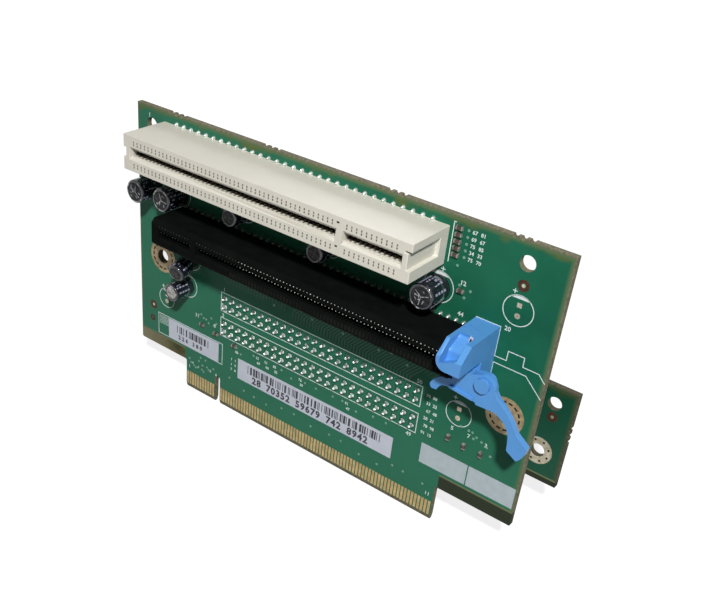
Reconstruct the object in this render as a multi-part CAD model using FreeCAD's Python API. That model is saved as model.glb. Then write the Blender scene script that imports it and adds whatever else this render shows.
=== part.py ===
"""Riser card for a slim desktop computer: two linked boards, two expansion slots and a card latch.

Frame: X runs along the main board to the right, Z is up, and the component side faces -Y.
The origin is the middle of the main edge's key notch, at the bottom of the edge, on the front face.
All sizes are in millimetres.
"""
import FreeCAD, Part
import math
import os

from FreeCAD import Vector

os.makedirs("parts", exist_ok=True)

# ---------------------------------------------------------------- main board
board_thick = 1.57
main_left = -30.4
main_right = 92.5
main_top = 79.4
shoulder_z = 10.6
main_edge_left = -12.15
main_edge_right = 72.15
notch_width = 1.9
notch_height = 8.9
bevel_height = 1.3
bevel_depth = 0.4

tooling_hole_dia = 3.6
top_hole_z = 74.6
top_left_hole_x = -25.2
top_right_hole_x = 82.8

ring_hole_dia = 4.0
ring_pad_dia = 9.4
ring_hole_z = 38.4
left_ring_x = -21.5
right_ring_x = 85.3

tab_scar_width = 4.8
tab_scar_bites = 3
tab_scar_bite_dia = 1.0
main_tab_scars_x = (-16.6, 14.2, 49.9, 80.7)

# ---------------------------------------------------------------- link board
board_pitch = 20.32
link_left = -24.0
link_right = 94.0
link_top = 37.9
link_edge_width = 79.6
link_edge_height = 10.6
link_key_width = 2.0
link_key_height = 8.2
link_hole_x = 88.7
link_hole_z = 33.2
link_ring_x = 87.5
link_ring_z = 18.9
link_ring_pad_dia = 7.6
link_ring_hole_dia = 3.6
link_tab_scar_z = 26.2

# ---------------------------------------------------------------- edge fingers
finger_thick = 0.06
finger_bottom = bevel_height + 0.1
main_finger_pitch = 1.0
main_finger_width = 0.7
main_finger_top = 5.6
main_fingers_left = 11
main_fingers_right = 71
main_key_half_gap = 1.5
link_finger_pitch = 1.27
link_finger_width = 0.95
link_finger_top = 8.0
link_positions = 62
link_key_positions = (50, 51)

# ---------------------------------------------------------------- upper slot (PCI, 1.27 mm pitch)
pci_length = 84.84
pci_width = 8.9
pci_height = 14.0
pci_left = -20.6
pci_center_z = 72.2
pci_slot_half = 0.95
pci_groove_half = 2.1
pci_groove_width = 0.65
pci_slot_floor = 2.2
pci_slot_end_margin = 1.5
pci_rib_width = 1.8
pci_mouth_half = 1.65
pci_mouth_depth = 0.7
pci_pocket_depth = 0.9
pci_pocket_height = 3.7
pci_pocket_rise = 2.1
pci_pocket_floor = 3.2
pci_pocket_groove = 0.45
pci_pocket_groove_depth = 1.7
pci_end_notch = 2.4

# ---------------------------------------------------------------- lower slot (PCIe, 1.0 mm pitch)
slot_pitch = 20.32
pcie_length = 89.0
pcie_width = 7.5
pcie_height = 11.25
pcie_key_x = 0.5
pcie_key_from_left = 14.5
pcie_slot_half = 0.9
pcie_groove_half = 1.9
pcie_groove_width = 0.6
pcie_slot_floor = 2.4
pcie_slot_end_margin = 0.65
pcie_rib_width = 1.7
pcie_mouth_half = 1.4
pcie_mouth_depth = 0.6
pcie_edge_chamfer = 1.0
pcie_foot_height = 0.5
pcie_foot_length = 3.0

# ---------------------------------------------------------------- slot contacts
contact_gap = 0.08
contact_thick = 0.3
contact_bow = 0.75
contact_tip_drop = 1.6

# ---------------------------------------------------------------- card latch
latch_card_gap = 1.6
latch_left = 74.0
latch_right = 80.0
latch_top_above_card = 6.95
latch_bottom_below_card = 6.4
latch_wall = 0.9
latch_right_wall = 1.4
latch_lip = 0.7
latch_lip_rise = 1.6
latch_hood_height = 15.2
latch_hood_chamfer_out = 3.3
latch_hood_chamfer_down = 3.0
latch_corner_radius = 2.4
latch_back_left = 4.0
latch_back_right = 6.0
latch_floor_rise = 1.7
latch_window_width = 1.1
latch_window_height = 1.8
latch_window_depth = 3.0
latch_base_height = 5.8
latch_socket_gap = 0.15
pivot_x = 82.8
pivot_below_card = 2.3
ear_radius = 1.7
ear_back = 6.0
ear_front = 7.2
arm_root = 1.5
arm_below_pivot = 2.6
lever_gap = 0.2
lever_end_gap = 0.5
lever_reach = 12.0
lever_thick = 1.6
lever_hook_drop = 6.2
lever_arm_drop = 4.9
lever_eye_reach = 2.7
lever_handle_reach = 12.4
lever_handle_drop = 14.3
pivot_pin_dia = 2.2
pivot_clearance = 0.06
pivot_head_dia = 3.4
pivot_head_height = 0.8
lever_nub_height = 1.4
lever_nub_width = 1.6
lever_nub_inset = 0.7
lever_rib_start = 4.6
lever_rib_height = 0.5
lever_rib_width = 0.65

# ---------------------------------------------------------------- electrolytic capacitors
large_can_dia = 6.3
large_can_height = 7.0
small_can_dia = 5.0
small_can_height = 6.6
lid_rim = 0.35
lean_angle = 14.0

# ---------------------------------------------------------------- chip capacitors
chip_column_x = 66.65
chip_column_z = (77.0, 75.45, 73.9, 72.4, 70.85)
chip_row_places = ((73.2, 26.3), (77.45, 25.9), (81.9, 25.9))
chip_length = 1.6
chip_width = 0.8
chip_height = 0.7
chip_cap = 0.3

# ---------------------------------------------------------------- board link headers
header_pitch = 2.54
header_columns = 25
header_first_x = 2.0
header_upper_z = 34.5
header_block_drop = 7.62
header_body_width = 5.0
header_body_overhang = 1.25
header_insulator_height = 2.54
pin_size = 0.64
pin_channel = 0.84
solder_base = 1.5
solder_height = 1.3

# ---------------------------------------------------------------- labels
label_thick = 0.1
small_label_left = -19.3
small_label_right = 0.1
small_label_bottom = 13.5
small_label_top = 19.75
large_label_left = 7.45
large_label_right = 58.7
large_label_bottom = 11.9
large_label_top = 18.2

# ---------------------------------------------------------------- worked-out values
link_front_y = board_pitch
link_back_y = board_pitch + board_thick
pci_right = pci_left + pci_length
pci_center_x = pci_left + pci_length / 2
pcie_center_z = pci_center_z - slot_pitch
pcie_left = pcie_key_x - pcie_key_from_left
pcie_right = pcie_left + pcie_length
link_edge_center_x = pci_center_x - pcie_key_x
latch_top = pcie_center_z + latch_top_above_card
latch_bottom = pcie_center_z - latch_bottom_below_card
pivot_z = pcie_center_z - pivot_below_card
lever_top = pcie_center_z - latch_card_gap / 2 - lever_gap
lever_shoulder_x = pcie_right + lever_end_gap
lever_back = ear_front + lever_gap
lever_front = lever_back + lever_thick


# ================================================================ helpers
def block(x0, x1, y0, y1, z0, z1):
    """Box between two corners."""
    return Part.makeBox(x1 - x0, y1 - y0, z1 - z0, Vector(x0, y0, z0))


def rod(x, z, radius, y0, y1):
    """Cylinder along Y."""
    return Part.makeCylinder(radius, y1 - y0, Vector(x, y0, z), Vector(0, 1, 0))


def sheet(points, y0, y1):
    """Polygon given as (x, z) points, extruded along Y."""
    corners = [Vector(x, y0, z) for x, z in points]
    corners.append(corners[0])
    face = Part.Face(Part.makePolygon(corners))
    return face.extrude(Vector(0, y1 - y0, 0))


def outline_face(start, steps, y):
    """Face in the XZ plane: a step is (x, z) for a line or ((x, z), (x, z)) for an arc through a point."""
    edges = []
    here = Vector(start[0], y, start[1])
    for step in steps:
        if isinstance(step[0], tuple):
            middle = Vector(step[0][0], y, step[0][1])
            there = Vector(step[1][0], y, step[1][1])
            edges.append(Part.Arc(here, middle, there).toShape())
        else:
            there = Vector(step[0], y, step[1])
            edges.append(Part.LineSegment(here, there).toShape())
        here = there
    return Part.Face(Part.Wire(edges))


def section(points, x):
    """Closed wire at one X, given as (depth in front of the board, z) points."""
    corners = [Vector(x, -depth, z) for depth, z in points]
    corners.append(corners[0])
    return Part.makePolygon(corners)


def ruled_solid(points_a, x_a, points_b, x_b):
    """Solid with straight rules between two sections that have as many points."""
    return Part.makeLoft([section(points_a, x_a), section(points_b, x_b)], True, True)


def keyed_positions(count, pitch, first, skipped):
    """X of each numbered position on a pitch, without the skipped numbers."""
    return [first + pitch * number for number in range(count) if number + 1 not in skipped]


def pcie_positions(key_x):
    """X of the 82 positions on each side of the key."""
    left = [key_x - main_key_half_gap - main_finger_pitch * n for n in range(main_fingers_left)]
    right = [key_x + main_key_half_gap + main_finger_pitch * n for n in range(main_fingers_right)]
    return sorted(left) + right


def pci_positions(center_x):
    """X of the 60 positions on each side of the slot, either side of the key."""
    first = center_x - link_finger_pitch * (link_positions - 1) / 2
    return keyed_positions(link_positions, link_finger_pitch, first, link_key_positions)


def pci_key_x(center_x):
    """Middle of the two key positions."""
    first = center_x - link_finger_pitch * (link_positions - 1) / 2
    return first + link_finger_pitch * (sum(link_key_positions) / 2 - 1)


def save(name, shape):
    """Write one node."""
    shape.exportStep("parts/" + name + ".step")


def save_group(name, solids):
    """Write one node that holds several separate solids."""
    save(name, Part.makeCompound(solids))


# ================================================================ boards
def edge_bevel(x0, x1, y_face, direction):
    """Wedge that bevels one face of an edge: direction is +1 into the board from y_face."""
    corners = [(0.0, 0.0), (direction * bevel_depth, 0.0), (0.0, bevel_height)]
    points = [Vector(x0, y_face + y, z) for y, z in corners]
    points.append(points[0])
    return Part.Face(Part.makePolygon(points)).extrude(Vector(x1 - x0, 0, 0))


def notch(x, width, height, y0, y1):
    """Key notch with a round top."""
    straight = height - width / 2
    slot = block(x - width / 2, x + width / 2, y0, y1, -1.0, straight)
    return slot.fuse(rod(x, straight, width / 2, y0, y1))


def bite_row(center, along_x, edge, y0, y1):
    """Half holes left where a breakaway tab was snapped off an edge."""
    step = (tab_scar_width - tab_scar_bite_dia) / (tab_scar_bites - 1)
    start = center - (tab_scar_width - tab_scar_bite_dia) / 2
    bites = []
    for number in range(tab_scar_bites):
        place = start + step * number
        if along_x:
            bites.append(rod(place, edge, tab_scar_bite_dia / 2, y0, y1))
        else:
            bites.append(rod(edge, place, tab_scar_bite_dia / 2, y0, y1))
    return bites


def main_board():
    """Main board: shoulders, edge with its key notch, mounting holes and breakaway scars."""
    points = [(main_left, shoulder_z), (main_edge_left, shoulder_z), (main_edge_left, 0.0),
              (main_edge_right, 0.0), (main_edge_right, shoulder_z), (main_right, shoulder_z),
              (main_right, main_top), (main_left, main_top)]
    board = sheet(points, 0.0, board_thick)
    cuts = [notch(0.0, notch_width, notch_height, -1.0, board_thick + 1.0)]
    cuts.append(edge_bevel(main_edge_left - 1.0, main_edge_right + 1.0, 0.0, 1.0))
    cuts.append(edge_bevel(main_edge_left - 1.0, main_edge_right + 1.0, board_thick, -1.0))
    for x in (top_left_hole_x, top_right_hole_x):
        cuts.append(rod(x, top_hole_z, tooling_hole_dia / 2, -1.0, board_thick + 1.0))
    for x in (left_ring_x, right_ring_x):
        cuts.append(rod(x, ring_hole_z, ring_hole_dia / 2, -1.0, board_thick + 1.0))
    for x in main_tab_scars_x:
        cuts += bite_row(x, True, main_top, -1.0, board_thick + 1.0)
    return board.cut(cuts)


def link_board():
    """Link board behind the main one, with its own keyed edge."""
    half = link_edge_width / 2
    x0 = link_edge_center_x - half
    x1 = link_edge_center_x + half
    points = [(link_left, link_edge_height), (x0, link_edge_height), (x0, 0.0), (x1, 0.0),
              (x1, link_edge_height), (link_right, link_edge_height), (link_right, link_top),
              (link_left, link_top)]
    board = sheet(points, link_front_y, link_back_y)
    y0 = link_front_y - 1.0
    y1 = link_back_y + 1.0
    cuts = [notch(pci_key_x(link_edge_center_x), link_key_width, link_key_height, y0, y1)]
    cuts.append(edge_bevel(x0 - 1.0, x1 + 1.0, link_front_y, 1.0))
    cuts.append(edge_bevel(x0 - 1.0, x1 + 1.0, link_back_y, -1.0))
    cuts.append(rod(link_hole_x, link_hole_z, tooling_hole_dia / 2, y0, y1))
    cuts.append(rod(link_ring_x, link_ring_z, link_ring_hole_dia / 2, y0, y1))
    cuts += bite_row(link_tab_scar_z, False, link_right, y0, y1)
    return board.cut(cuts)


def fingers(positions, width, top, y_face, outward):
    """Gold contacts on one face of an edge: outward is -1 on a front face and +1 on a back face."""
    y0 = min(y_face, y_face + outward * finger_thick)
    y1 = max(y_face, y_face + outward * finger_thick)
    return [block(x - width / 2, x + width / 2, y0, y1, finger_bottom, top) for x in positions]


def ring_pad(x, z, hole_dia, pad_dia):
    """Plated ring round a mounting hole, on the front face of the main board."""
    ring = rod(x, z, pad_dia / 2, -finger_thick, 0.0)
    return ring.cut(rod(x, z, hole_dia / 2, -1.0, 1.0))


# ================================================================ slots
def comb(stops, x0, x1, slot_half, groove_half, groove_width, center_z, y0, y1):
    """Slot space whose two walls hold a row of contact grooves."""
    upper = []
    for x in stops:
        upper.append((x - groove_width / 2, slot_half))
        upper.append((x - groove_width / 2, groove_half))
        upper.append((x + groove_width / 2, groove_half))
        upper.append((x + groove_width / 2, slot_half))
    profile = [(x0, slot_half)] + upper + [(x1, slot_half)]
    mirror = [(x, -z) for x, z in reversed(profile)]
    points = [(x, center_z + z) for x, z in profile + mirror]
    return sheet(points, y0, y1)


def mouth(x0, x1, slot_half, mouth_half, depth, height, center_z):
    """Lead-in funnel along a slot, from the mating face down."""
    top = height + 0.2
    wide = mouth_half + 0.2 * (mouth_half - slot_half) / depth
    profile = [(height - depth, -slot_half), (height - depth, slot_half), (top, wide), (top, -wide)]
    corners = [Vector(x0, -far, center_z + z) for far, z in profile]
    corners.append(corners[0])
    return Part.Face(Part.makePolygon(corners)).extrude(Vector(x1 - x0, 0, 0))


def slot_spaces(positions, key_x, rib_width, end_margin, half, groove_half, groove_width,
                floor, mouth_half, mouth_depth, height, center_z):
    """The two card spaces of a slot, left and right of its key rib."""
    left = [x for x in positions if x < key_x]
    right = [x for x in positions if x > key_x]
    spans = [(left, positions[0] - end_margin, key_x - rib_width / 2),
             (right, key_x + rib_width / 2, positions[-1] + end_margin)]
    spaces = []
    for stops, x0, x1 in spans:
        spaces.append(comb(stops, x0, x1, half, groove_half, groove_width, center_z,
                           mouth_depth - height, -floor))
        spaces.append(mouth(x0, x1, half, mouth_half, mouth_depth, height, center_z))
    return spaces


def pci_housing():
    """Upper slot housing: keyed comb slot and a stepped pocket in each end."""
    z0 = pci_center_z - pci_width / 2
    z1 = pci_center_z + pci_width / 2
    body = block(pci_left, pci_right, -pci_height, 0.0, z0, z1)
    cuts = slot_spaces(pci_positions(pci_center_x), pci_key_x(pci_center_x), pci_rib_width,
                       pci_slot_end_margin, pci_slot_half, pci_groove_half, pci_groove_width,
                       pci_slot_floor, pci_mouth_half, pci_mouth_depth, pci_height, pci_center_z)
    top = pci_center_z + pci_pocket_rise
    bottom = top - pci_pocket_height
    cuts.append(block(pci_right - pci_pocket_depth, pci_right + 1.0, -pci_height - 1.0,
                      -pci_pocket_floor, bottom, top))
    cuts.append(block(pci_right - pci_pocket_groove_depth, pci_right + 1.0, -pci_height - 1.0,
                      -pci_pocket_floor, top, top + pci_pocket_groove))
    cuts.append(block(pci_left - 1.0, pci_left + pci_pocket_depth, -pci_height - 1.0,
                      -pci_pocket_floor, pci_center_z - pci_end_notch / 2,
                      pci_center_z + pci_end_notch / 2))
    return body.cut(cuts)


def pcie_housing():
    """Lower slot housing: chamfered mating edges, end feet and a keyed comb slot."""
    half = pcie_width / 2
    lip = half - pcie_edge_chamfer
    top = pcie_height
    low = pcie_height - pcie_edge_chamfer
    profile = [(0.0, -half), (0.0, half), (low, half), (top, lip), (top, -lip), (low, -half)]
    corners = [Vector(pcie_left, -far, pcie_center_z + z) for far, z in profile]
    corners.append(corners[0])
    body = Part.Face(Part.makePolygon(corners)).extrude(Vector(pcie_length, 0, 0))
    relief = block(pcie_left + pcie_foot_length, pcie_right - pcie_foot_length, -pcie_foot_height,
                   1.0, pcie_center_z - half - 1.0, pcie_center_z - pcie_groove_half - 0.6)
    cuts = slot_spaces(pcie_positions(pcie_key_x), pcie_key_x, pcie_rib_width,
                       pcie_slot_end_margin, pcie_slot_half, pcie_groove_half, pcie_groove_width,
                       pcie_slot_floor, pcie_mouth_half, pcie_mouth_depth, pcie_height,
                       pcie_center_z)
    cuts.append(relief)
    return body.cut(cuts)


def contacts(positions, slot_half, groove_half, groove_width, floor, height, center_z, side):
    """Bowed spring contacts in the grooves of one wall: side is +1 for the upper wall."""
    width = groove_width - 2 * contact_gap
    tip = height - contact_tip_drop
    bow_at = floor + (tip - floor) * 0.7
    root = groove_half - contact_gap
    inner = slot_half - contact_bow + contact_thick
    profile = [(floor, root), (bow_at, inner), (tip, root)]
    solids = []
    for x in positions:
        corners = [Vector(x - width / 2, -far, center_z + side * z) for far, z in profile]
        corners.append(corners[0])
        face = Part.Face(Part.makePolygon(corners))
        solids.append(face.extrude(Vector(width, 0, 0)))
    return solids


# ================================================================ card latch
def latch_hood(hood_low):
    """Bucket over the end of the slot: thin left wall, tilted floor, low lip and open top."""
    face = latch_hood_height
    profile = [(0.0, hood_low), (0.0, latch_top), (face - latch_hood_chamfer_out, latch_top),
               (face, latch_top - latch_hood_chamfer_down), (face, hood_low)]
    body = ruled_solid(profile, latch_left, profile, latch_right)

    floor = hood_low + latch_wall
    lip = face - latch_lip
    above = latch_top + 1.0
    beyond = face + 1.0
    left = [(latch_back_left, floor), (lip, floor), (lip, floor + latch_lip), (beyond, floor + latch_lip),
            (beyond, above), (latch_back_left, above)]
    high = floor + latch_floor_rise
    right = [(latch_back_right, high), (lip - latch_lip, high), (lip, high + latch_lip),
             (beyond, high + latch_lip), (beyond, above), (latch_back_right, above)]
    scoop = ruled_solid(left, latch_left + latch_wall, right, latch_right - latch_right_wall)

    window_left = latch_left + latch_wall + 0.4
    window = block(window_left, window_left + latch_window_width, -latch_back_right,
                   latch_window_depth - latch_back_left, floor + latch_lip_rise,
                   floor + latch_lip_rise + latch_window_height)
    middle_x = latch_left + latch_corner_radius
    middle_z = hood_low + latch_corner_radius
    corner = rod(middle_x, middle_z, latch_corner_radius, -beyond, -pcie_height)
    corner_block = block(latch_left - 1.0, middle_x, -beyond, -pcie_height, hood_low - 1.0, middle_z)
    return body.cut([scoop, window, corner_block.cut(corner)])


def latch_housing():
    """Fixed half of the latch: the hood over the card's tab, its foot, the arm and the pivot ear."""
    card_bottom = pcie_center_z - latch_card_gap / 2
    hood_low = pcie_center_z + latch_card_gap / 2
    hood = latch_hood(hood_low)
    foot = block(pcie_right + latch_socket_gap, latch_right, -latch_base_height, 0.0,
                 latch_bottom, hood_low + 0.2)
    gusset = sheet([(latch_right - arm_root, card_bottom), (latch_right, card_bottom - arm_root),
                    (latch_right, pivot_z - arm_below_pivot),
                    (latch_right - arm_root, pivot_z - arm_below_pivot)], -ear_front, -latch_base_height)
    ear = rod(pivot_x, pivot_z, ear_radius, -ear_front, -ear_back)
    arm = sheet([(latch_right - arm_root, pivot_z + ear_radius * 0.5), (pivot_x, pivot_z + ear_radius),
                 (pivot_x, pivot_z - ear_radius), (latch_right - arm_root, pivot_z - arm_below_pivot)],
                -ear_front, -ear_back)
    card_space = block(latch_left - 1.0, latch_right, -latch_hood_height - 1.0, -latch_base_height,
                       card_bottom, hood_low)

    socket_half = pcie_width / 2 + latch_socket_gap
    socket_space = block(latch_left - 1.0, pcie_right + latch_socket_gap,
                         -pcie_height - latch_socket_gap, 1.0,
                         pcie_center_z - socket_half, pcie_center_z + socket_half)
    pin_hole = rod(pivot_x, pivot_z, pivot_pin_dia / 2, -ear_front - 1.0, -ear_back + 1.0)

    body = hood.fuse([foot, gusset, ear, arm])
    return body.cut([card_space, socket_space, pin_hole]).removeSplitter()


def lever_outline():
    """Start and steps of the lever's outline, from the hook's tip along its lower edge."""
    socket_bottom = pcie_center_z - pcie_width / 2
    tip_x = pivot_x - lever_reach
    tip_z = pivot_z - lever_hook_drop
    under = pivot_z - lever_arm_drop
    eye_x = pivot_x + lever_eye_reach
    heel_x = pivot_x + lever_handle_reach
    toe_z = pivot_z - lever_handle_drop
    start = (tip_x + 0.4, tip_z)
    steps = [
        (tip_x + 1.5, tip_z + 0.1),
        ((tip_x + 2.6, tip_z + 1.7), (tip_x + 4.4, under + 0.7)),
        (pivot_x - 1.1, under),
        (pivot_x - 0.8, under - 0.5),
        (eye_x + 0.7, under - 0.3),
        ((eye_x + 3.8, under - 2.1), (eye_x + 5.2, under - 5.4)),
        (heel_x - 4.3, toe_z + 1.5),
        (heel_x - 1.7, toe_z),
        ((heel_x - 0.5, toe_z + 1.6), (heel_x, toe_z + 3.9)),
        (heel_x - 2.9, toe_z + 6.0),
        ((eye_x + 4.6, under - 0.2), (eye_x + 1.1, pivot_z - 2.0)),
        (eye_x + 0.2, pivot_z - 0.6),
        ((eye_x - 1.0, pivot_z + 1.7), (pivot_x - 0.6, pivot_z + 2.2)),
        (pivot_x - 3.0, lever_top),
        (lever_shoulder_x, lever_top),
        (lever_shoulder_x, socket_bottom - lever_end_gap),
        ((tip_x + 1.7, tip_z + 3.5), (tip_x - 0.1, tip_z + 1.4)),
        ((tip_x - 0.2, tip_z + 0.6), start),
    ]
    return start, steps


def latch_lever():
    """Moving half of the latch: hook arm, nub for the card's notch, pivot eye and finger handle."""
    start, steps = lever_outline()
    plate = outline_face(start, steps, -lever_front).extrude(Vector(0, lever_thick, 0))
    nub_left = lever_shoulder_x + lever_nub_inset
    nub = sheet([(nub_left, lever_top - 1.0), (nub_left + lever_nub_width, lever_top - 1.0),
                 (nub_left + lever_nub_width, lever_top + lever_nub_height * 0.5),
                 (nub_left + lever_nub_width * 0.6, lever_top + lever_nub_height),
                 (nub_left, lever_top + lever_nub_height)], -lever_front, -lever_back)
    rib_left = pivot_x - lever_reach + lever_rib_start
    rib_right = pivot_x - 1.6
    under = pivot_z - lever_arm_drop
    rib = sheet([(rib_left, under + 1.5 * lever_rib_width), (rib_right, under + 0.5 * lever_rib_width),
                 (rib_right, under + 1.5 * lever_rib_width), (rib_left, under + 2.5 * lever_rib_width)],
                -lever_front - lever_rib_height, -lever_front)
    eye = rod(pivot_x, pivot_z, pivot_pin_dia / 2 + pivot_clearance, -lever_front - 1.0,
              -lever_back + 1.0)
    return plate.fuse([nub, rib]).cut(eye).removeSplitter()


def pivot_pin():
    """Shouldered pin: pressed into the ear, with a broad head in front of the lever."""
    head_y = -lever_front - lever_gap / 2
    shank = rod(pivot_x, pivot_z, pivot_pin_dia / 2, head_y, -ear_back)
    head = rod(pivot_x, pivot_z, pivot_head_dia / 2, head_y - pivot_head_height, head_y)
    return shank.fuse(head).removeSplitter()


# ================================================================ capacitors
def stand(solid, x, z, leaning, radius):
    """Stand a part made at the origin along -Y on the board at (x, z), leaning over its bung if asked."""
    if leaning:
        angle = math.radians(lean_angle)
        solid.rotate(Vector(0, 0, 0), Vector(1, 0, 0), lean_angle)
        solid.rotate(Vector(0, 0, 0), Vector(0, 0, 1), lean_angle * 0.5)
        solid.translate(Vector(0, -radius * math.sin(angle) * 1.25, 0))
    solid.translate(Vector(x, 0, z))
    return solid


def capacitor(dia, height):
    """Sealed can in its shrink sleeve, with the sleeve turned in over the lid's rim."""
    side = rod(0.0, 0.0, dia / 2, -height + lid_rim, 0.0)
    rim = Part.makeCone(dia / 2, dia / 2 - lid_rim, lid_rim, Vector(0, -height + lid_rim, 0),
                        Vector(0, -1, 0))
    return side.fuse(rim)


def capacitor_places():
    """Places of the electrolytic capacitors by size: x, z and whether it leans."""
    return {
        "large": [(-24.7, 58.3, False), (-15.0, 58.9, False), (63.8, 62.1, False)],
        "small": [(-10.4, 41.6, True), (-11.9, 33.2, False), (8.0, 61.6, False),
                  (34.5, 61.6, False)],
    }


def chip_places():
    """Chip capacitors: x, z and whether the chip lies along X."""
    column = [(chip_column_x, z, True) for z in chip_column_z]
    row = [(x, z, False) for x, z in chip_row_places]
    single = [(69.4, 63.3, True), (-6.0, 23.3, True), (-0.8, 22.5, True), (6.0, 21.6, True)]
    return column + row + single


def chip(x, z, along_x):
    """Ceramic body and two metal ends of one chip."""
    long_half = chip_length / 2
    short_half = chip_width / 2
    inner = long_half - chip_cap
    if along_x:
        body = block(x - inner, x + inner, -chip_height, 0.0, z - short_half, z + short_half)
        ends = [block(x - long_half, x - inner, -chip_height, 0.0, z - short_half, z + short_half),
                block(x + inner, x + long_half, -chip_height, 0.0, z - short_half, z + short_half)]
    else:
        body = block(x - short_half, x + short_half, -chip_height, 0.0, z - inner, z + inner)
        ends = [block(x - short_half, x + short_half, -chip_height, 0.0, z - long_half, z - inner),
                block(x - short_half, x + short_half, -chip_height, 0.0, z + inner, z + long_half)]
    return body, ends


# ================================================================ board link headers
def header_rows(top_row_z):
    """Z of the two pin rows of one header."""
    return (top_row_z, top_row_z - header_pitch)


def header_pins_xz(top_row_z):
    """Place of each pin of one header."""
    columns = [header_first_x + header_pitch * n for n in range(header_columns)]
    return [(x, z) for z in header_rows(top_row_z) for x in columns]


def header_body(top_row_z, y0, y1):
    """Moulded strip with a channel along each pin row."""
    last_x = header_first_x + header_pitch * (header_columns - 1)
    middle = top_row_z - header_pitch / 2
    body = block(header_first_x - header_body_overhang, last_x + header_body_overhang, y0, y1,
                 middle - header_body_width / 2, middle + header_body_width / 2)
    channels = []
    for z in header_rows(top_row_z):
        channels.append(block(header_first_x - pin_channel / 2, last_x + pin_channel / 2,
                              y0 - 1.0, y1 + 1.0, z - pin_channel / 2, z + pin_channel / 2))
    return body.cut(channels)


def header_pins(top_row_z):
    """Square pins from the back of the main board down to the link board."""
    y0 = board_thick
    y1 = link_front_y
    half = pin_size / 2
    return [block(x - half, x + half, y0, y1, z - half, z + half)
            for x, z in header_pins_xz(top_row_z)]


def solder_joint(x, z, y_face, outward):
    """Four-sided solder fillet drawn up to the pin's tip, on one face of a board."""
    half = solder_base / 2
    base = [Vector(x - half, y_face, z - half), Vector(x + half, y_face, z - half),
            Vector(x + half, y_face, z + half), Vector(x - half, y_face, z + half)]
    tip = Vector(x, y_face + outward * solder_height, z)
    faces = [Part.Face(Part.makePolygon(base + base[:1]))]
    for number in range(4):
        side = [base[number], base[(number + 1) % 4], tip, base[number]]
        faces.append(Part.Face(Part.makePolygon(side)))
    joint = Part.Solid(Part.Shell(faces))
    if joint.Volume < 0:
        joint.reverse()
    return joint


# ================================================================ build
def build_boards():
    """Boards, edge fingers, plated rings and labels."""
    main_x = pcie_positions(0.0)
    link_x = pci_positions(link_edge_center_x)
    save("main_board", main_board())
    save_group("main_edge_fingers_front",
               fingers(main_x, main_finger_width, main_finger_top, 0.0, -1))
    save_group("main_edge_fingers_back",
               fingers(main_x, main_finger_width, main_finger_top, board_thick, 1))
    save("link_board", link_board())
    save_group("link_edge_fingers_front",
               fingers(link_x, link_finger_width, link_finger_top, link_front_y, -1))
    save_group("link_edge_fingers_back",
               fingers(link_x, link_finger_width, link_finger_top, link_back_y, 1))
    save_group("main_ring_pads",
               [ring_pad(x, ring_hole_z, ring_hole_dia, ring_pad_dia)
                for x in (left_ring_x, right_ring_x)])
    link_ring = ring_pad(link_ring_x, link_ring_z, link_ring_hole_dia, link_ring_pad_dia)
    link_ring.translate(Vector(0, link_front_y, 0))
    save("link_ring_pad", link_ring)
    save("small_label", block(small_label_left, small_label_right, -label_thick, 0.0,
                              small_label_bottom, small_label_top))
    save("large_label", block(large_label_left, large_label_right, -label_thick, 0.0,
                              large_label_bottom, large_label_top))


def build_slots():
    """Both slots with their contacts."""
    save("pci_slot_housing", pci_housing())
    save("pcie_slot_housing", pcie_housing())
    for name, side in (("upper", 1), ("lower", -1)):
        save_group("pci_slot_contacts_" + name,
                   contacts(pci_positions(pci_center_x), pci_slot_half, pci_groove_half,
                            pci_groove_width, pci_slot_floor, pci_height, pci_center_z, side))
        save_group("pcie_slot_contacts_" + name,
                   contacts(pcie_positions(pcie_key_x), pcie_slot_half, pcie_groove_half,
                            pcie_groove_width, pcie_slot_floor, pcie_height, pcie_center_z, side))


def build_latch():
    """Card latch at the right end of the lower slot."""
    save("latch_housing", latch_housing())
    save("latch_lever", latch_lever())
    save("latch_pivot_pin", pivot_pin())


def build_capacitors():
    """Electrolytic and chip capacitors."""
    sizes = {"large": (large_can_dia, large_can_height), "small": (small_can_dia, small_can_height)}
    for size, places in capacitor_places().items():
        dia, height = sizes[size]
        save_group(size + "_capacitors",
                   [stand(capacitor(dia, height), x, z, leaning, dia / 2)
                    for x, z, leaning in places])
    bodies = []
    ends = []
    for x, z, along_x in chip_places():
        body, metal = chip(x, z, along_x)
        bodies.append(body)
        ends += metal
    save_group("chip_capacitor_bodies", bodies)
    save_group("chip_capacitor_ends", ends)


def build_headers():
    """Two pin headers that carry the upper slot's lines to the link board."""
    joint_y = board_thick + header_insulator_height
    for name, top_z in (("upper", header_upper_z), ("lower", header_upper_z - header_block_drop)):
        save("header_" + name + "_insulator", header_body(top_z, board_thick, joint_y))
        save("header_" + name + "_socket", header_body(top_z, joint_y, link_front_y))
        save_group("header_" + name + "_pins", header_pins(top_z))
        save_group("header_" + name + "_solder",
                   [solder_joint(x, z, 0.0, -1) for x, z in header_pins_xz(top_z)])
        save_group("socket_" + name + "_solder",
                   [solder_joint(x, z, link_back_y, 1) for x, z in header_pins_xz(top_z)])


build_boards()
build_slots()
build_latch()
build_capacitors()
build_headers()
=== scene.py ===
"""Dresses a slot riser card: boards with their print and plating, slots, latch, capacitors and joints."""
import math
import random

import bmesh
import bpy
from mathutils import Matrix, Vector


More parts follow.
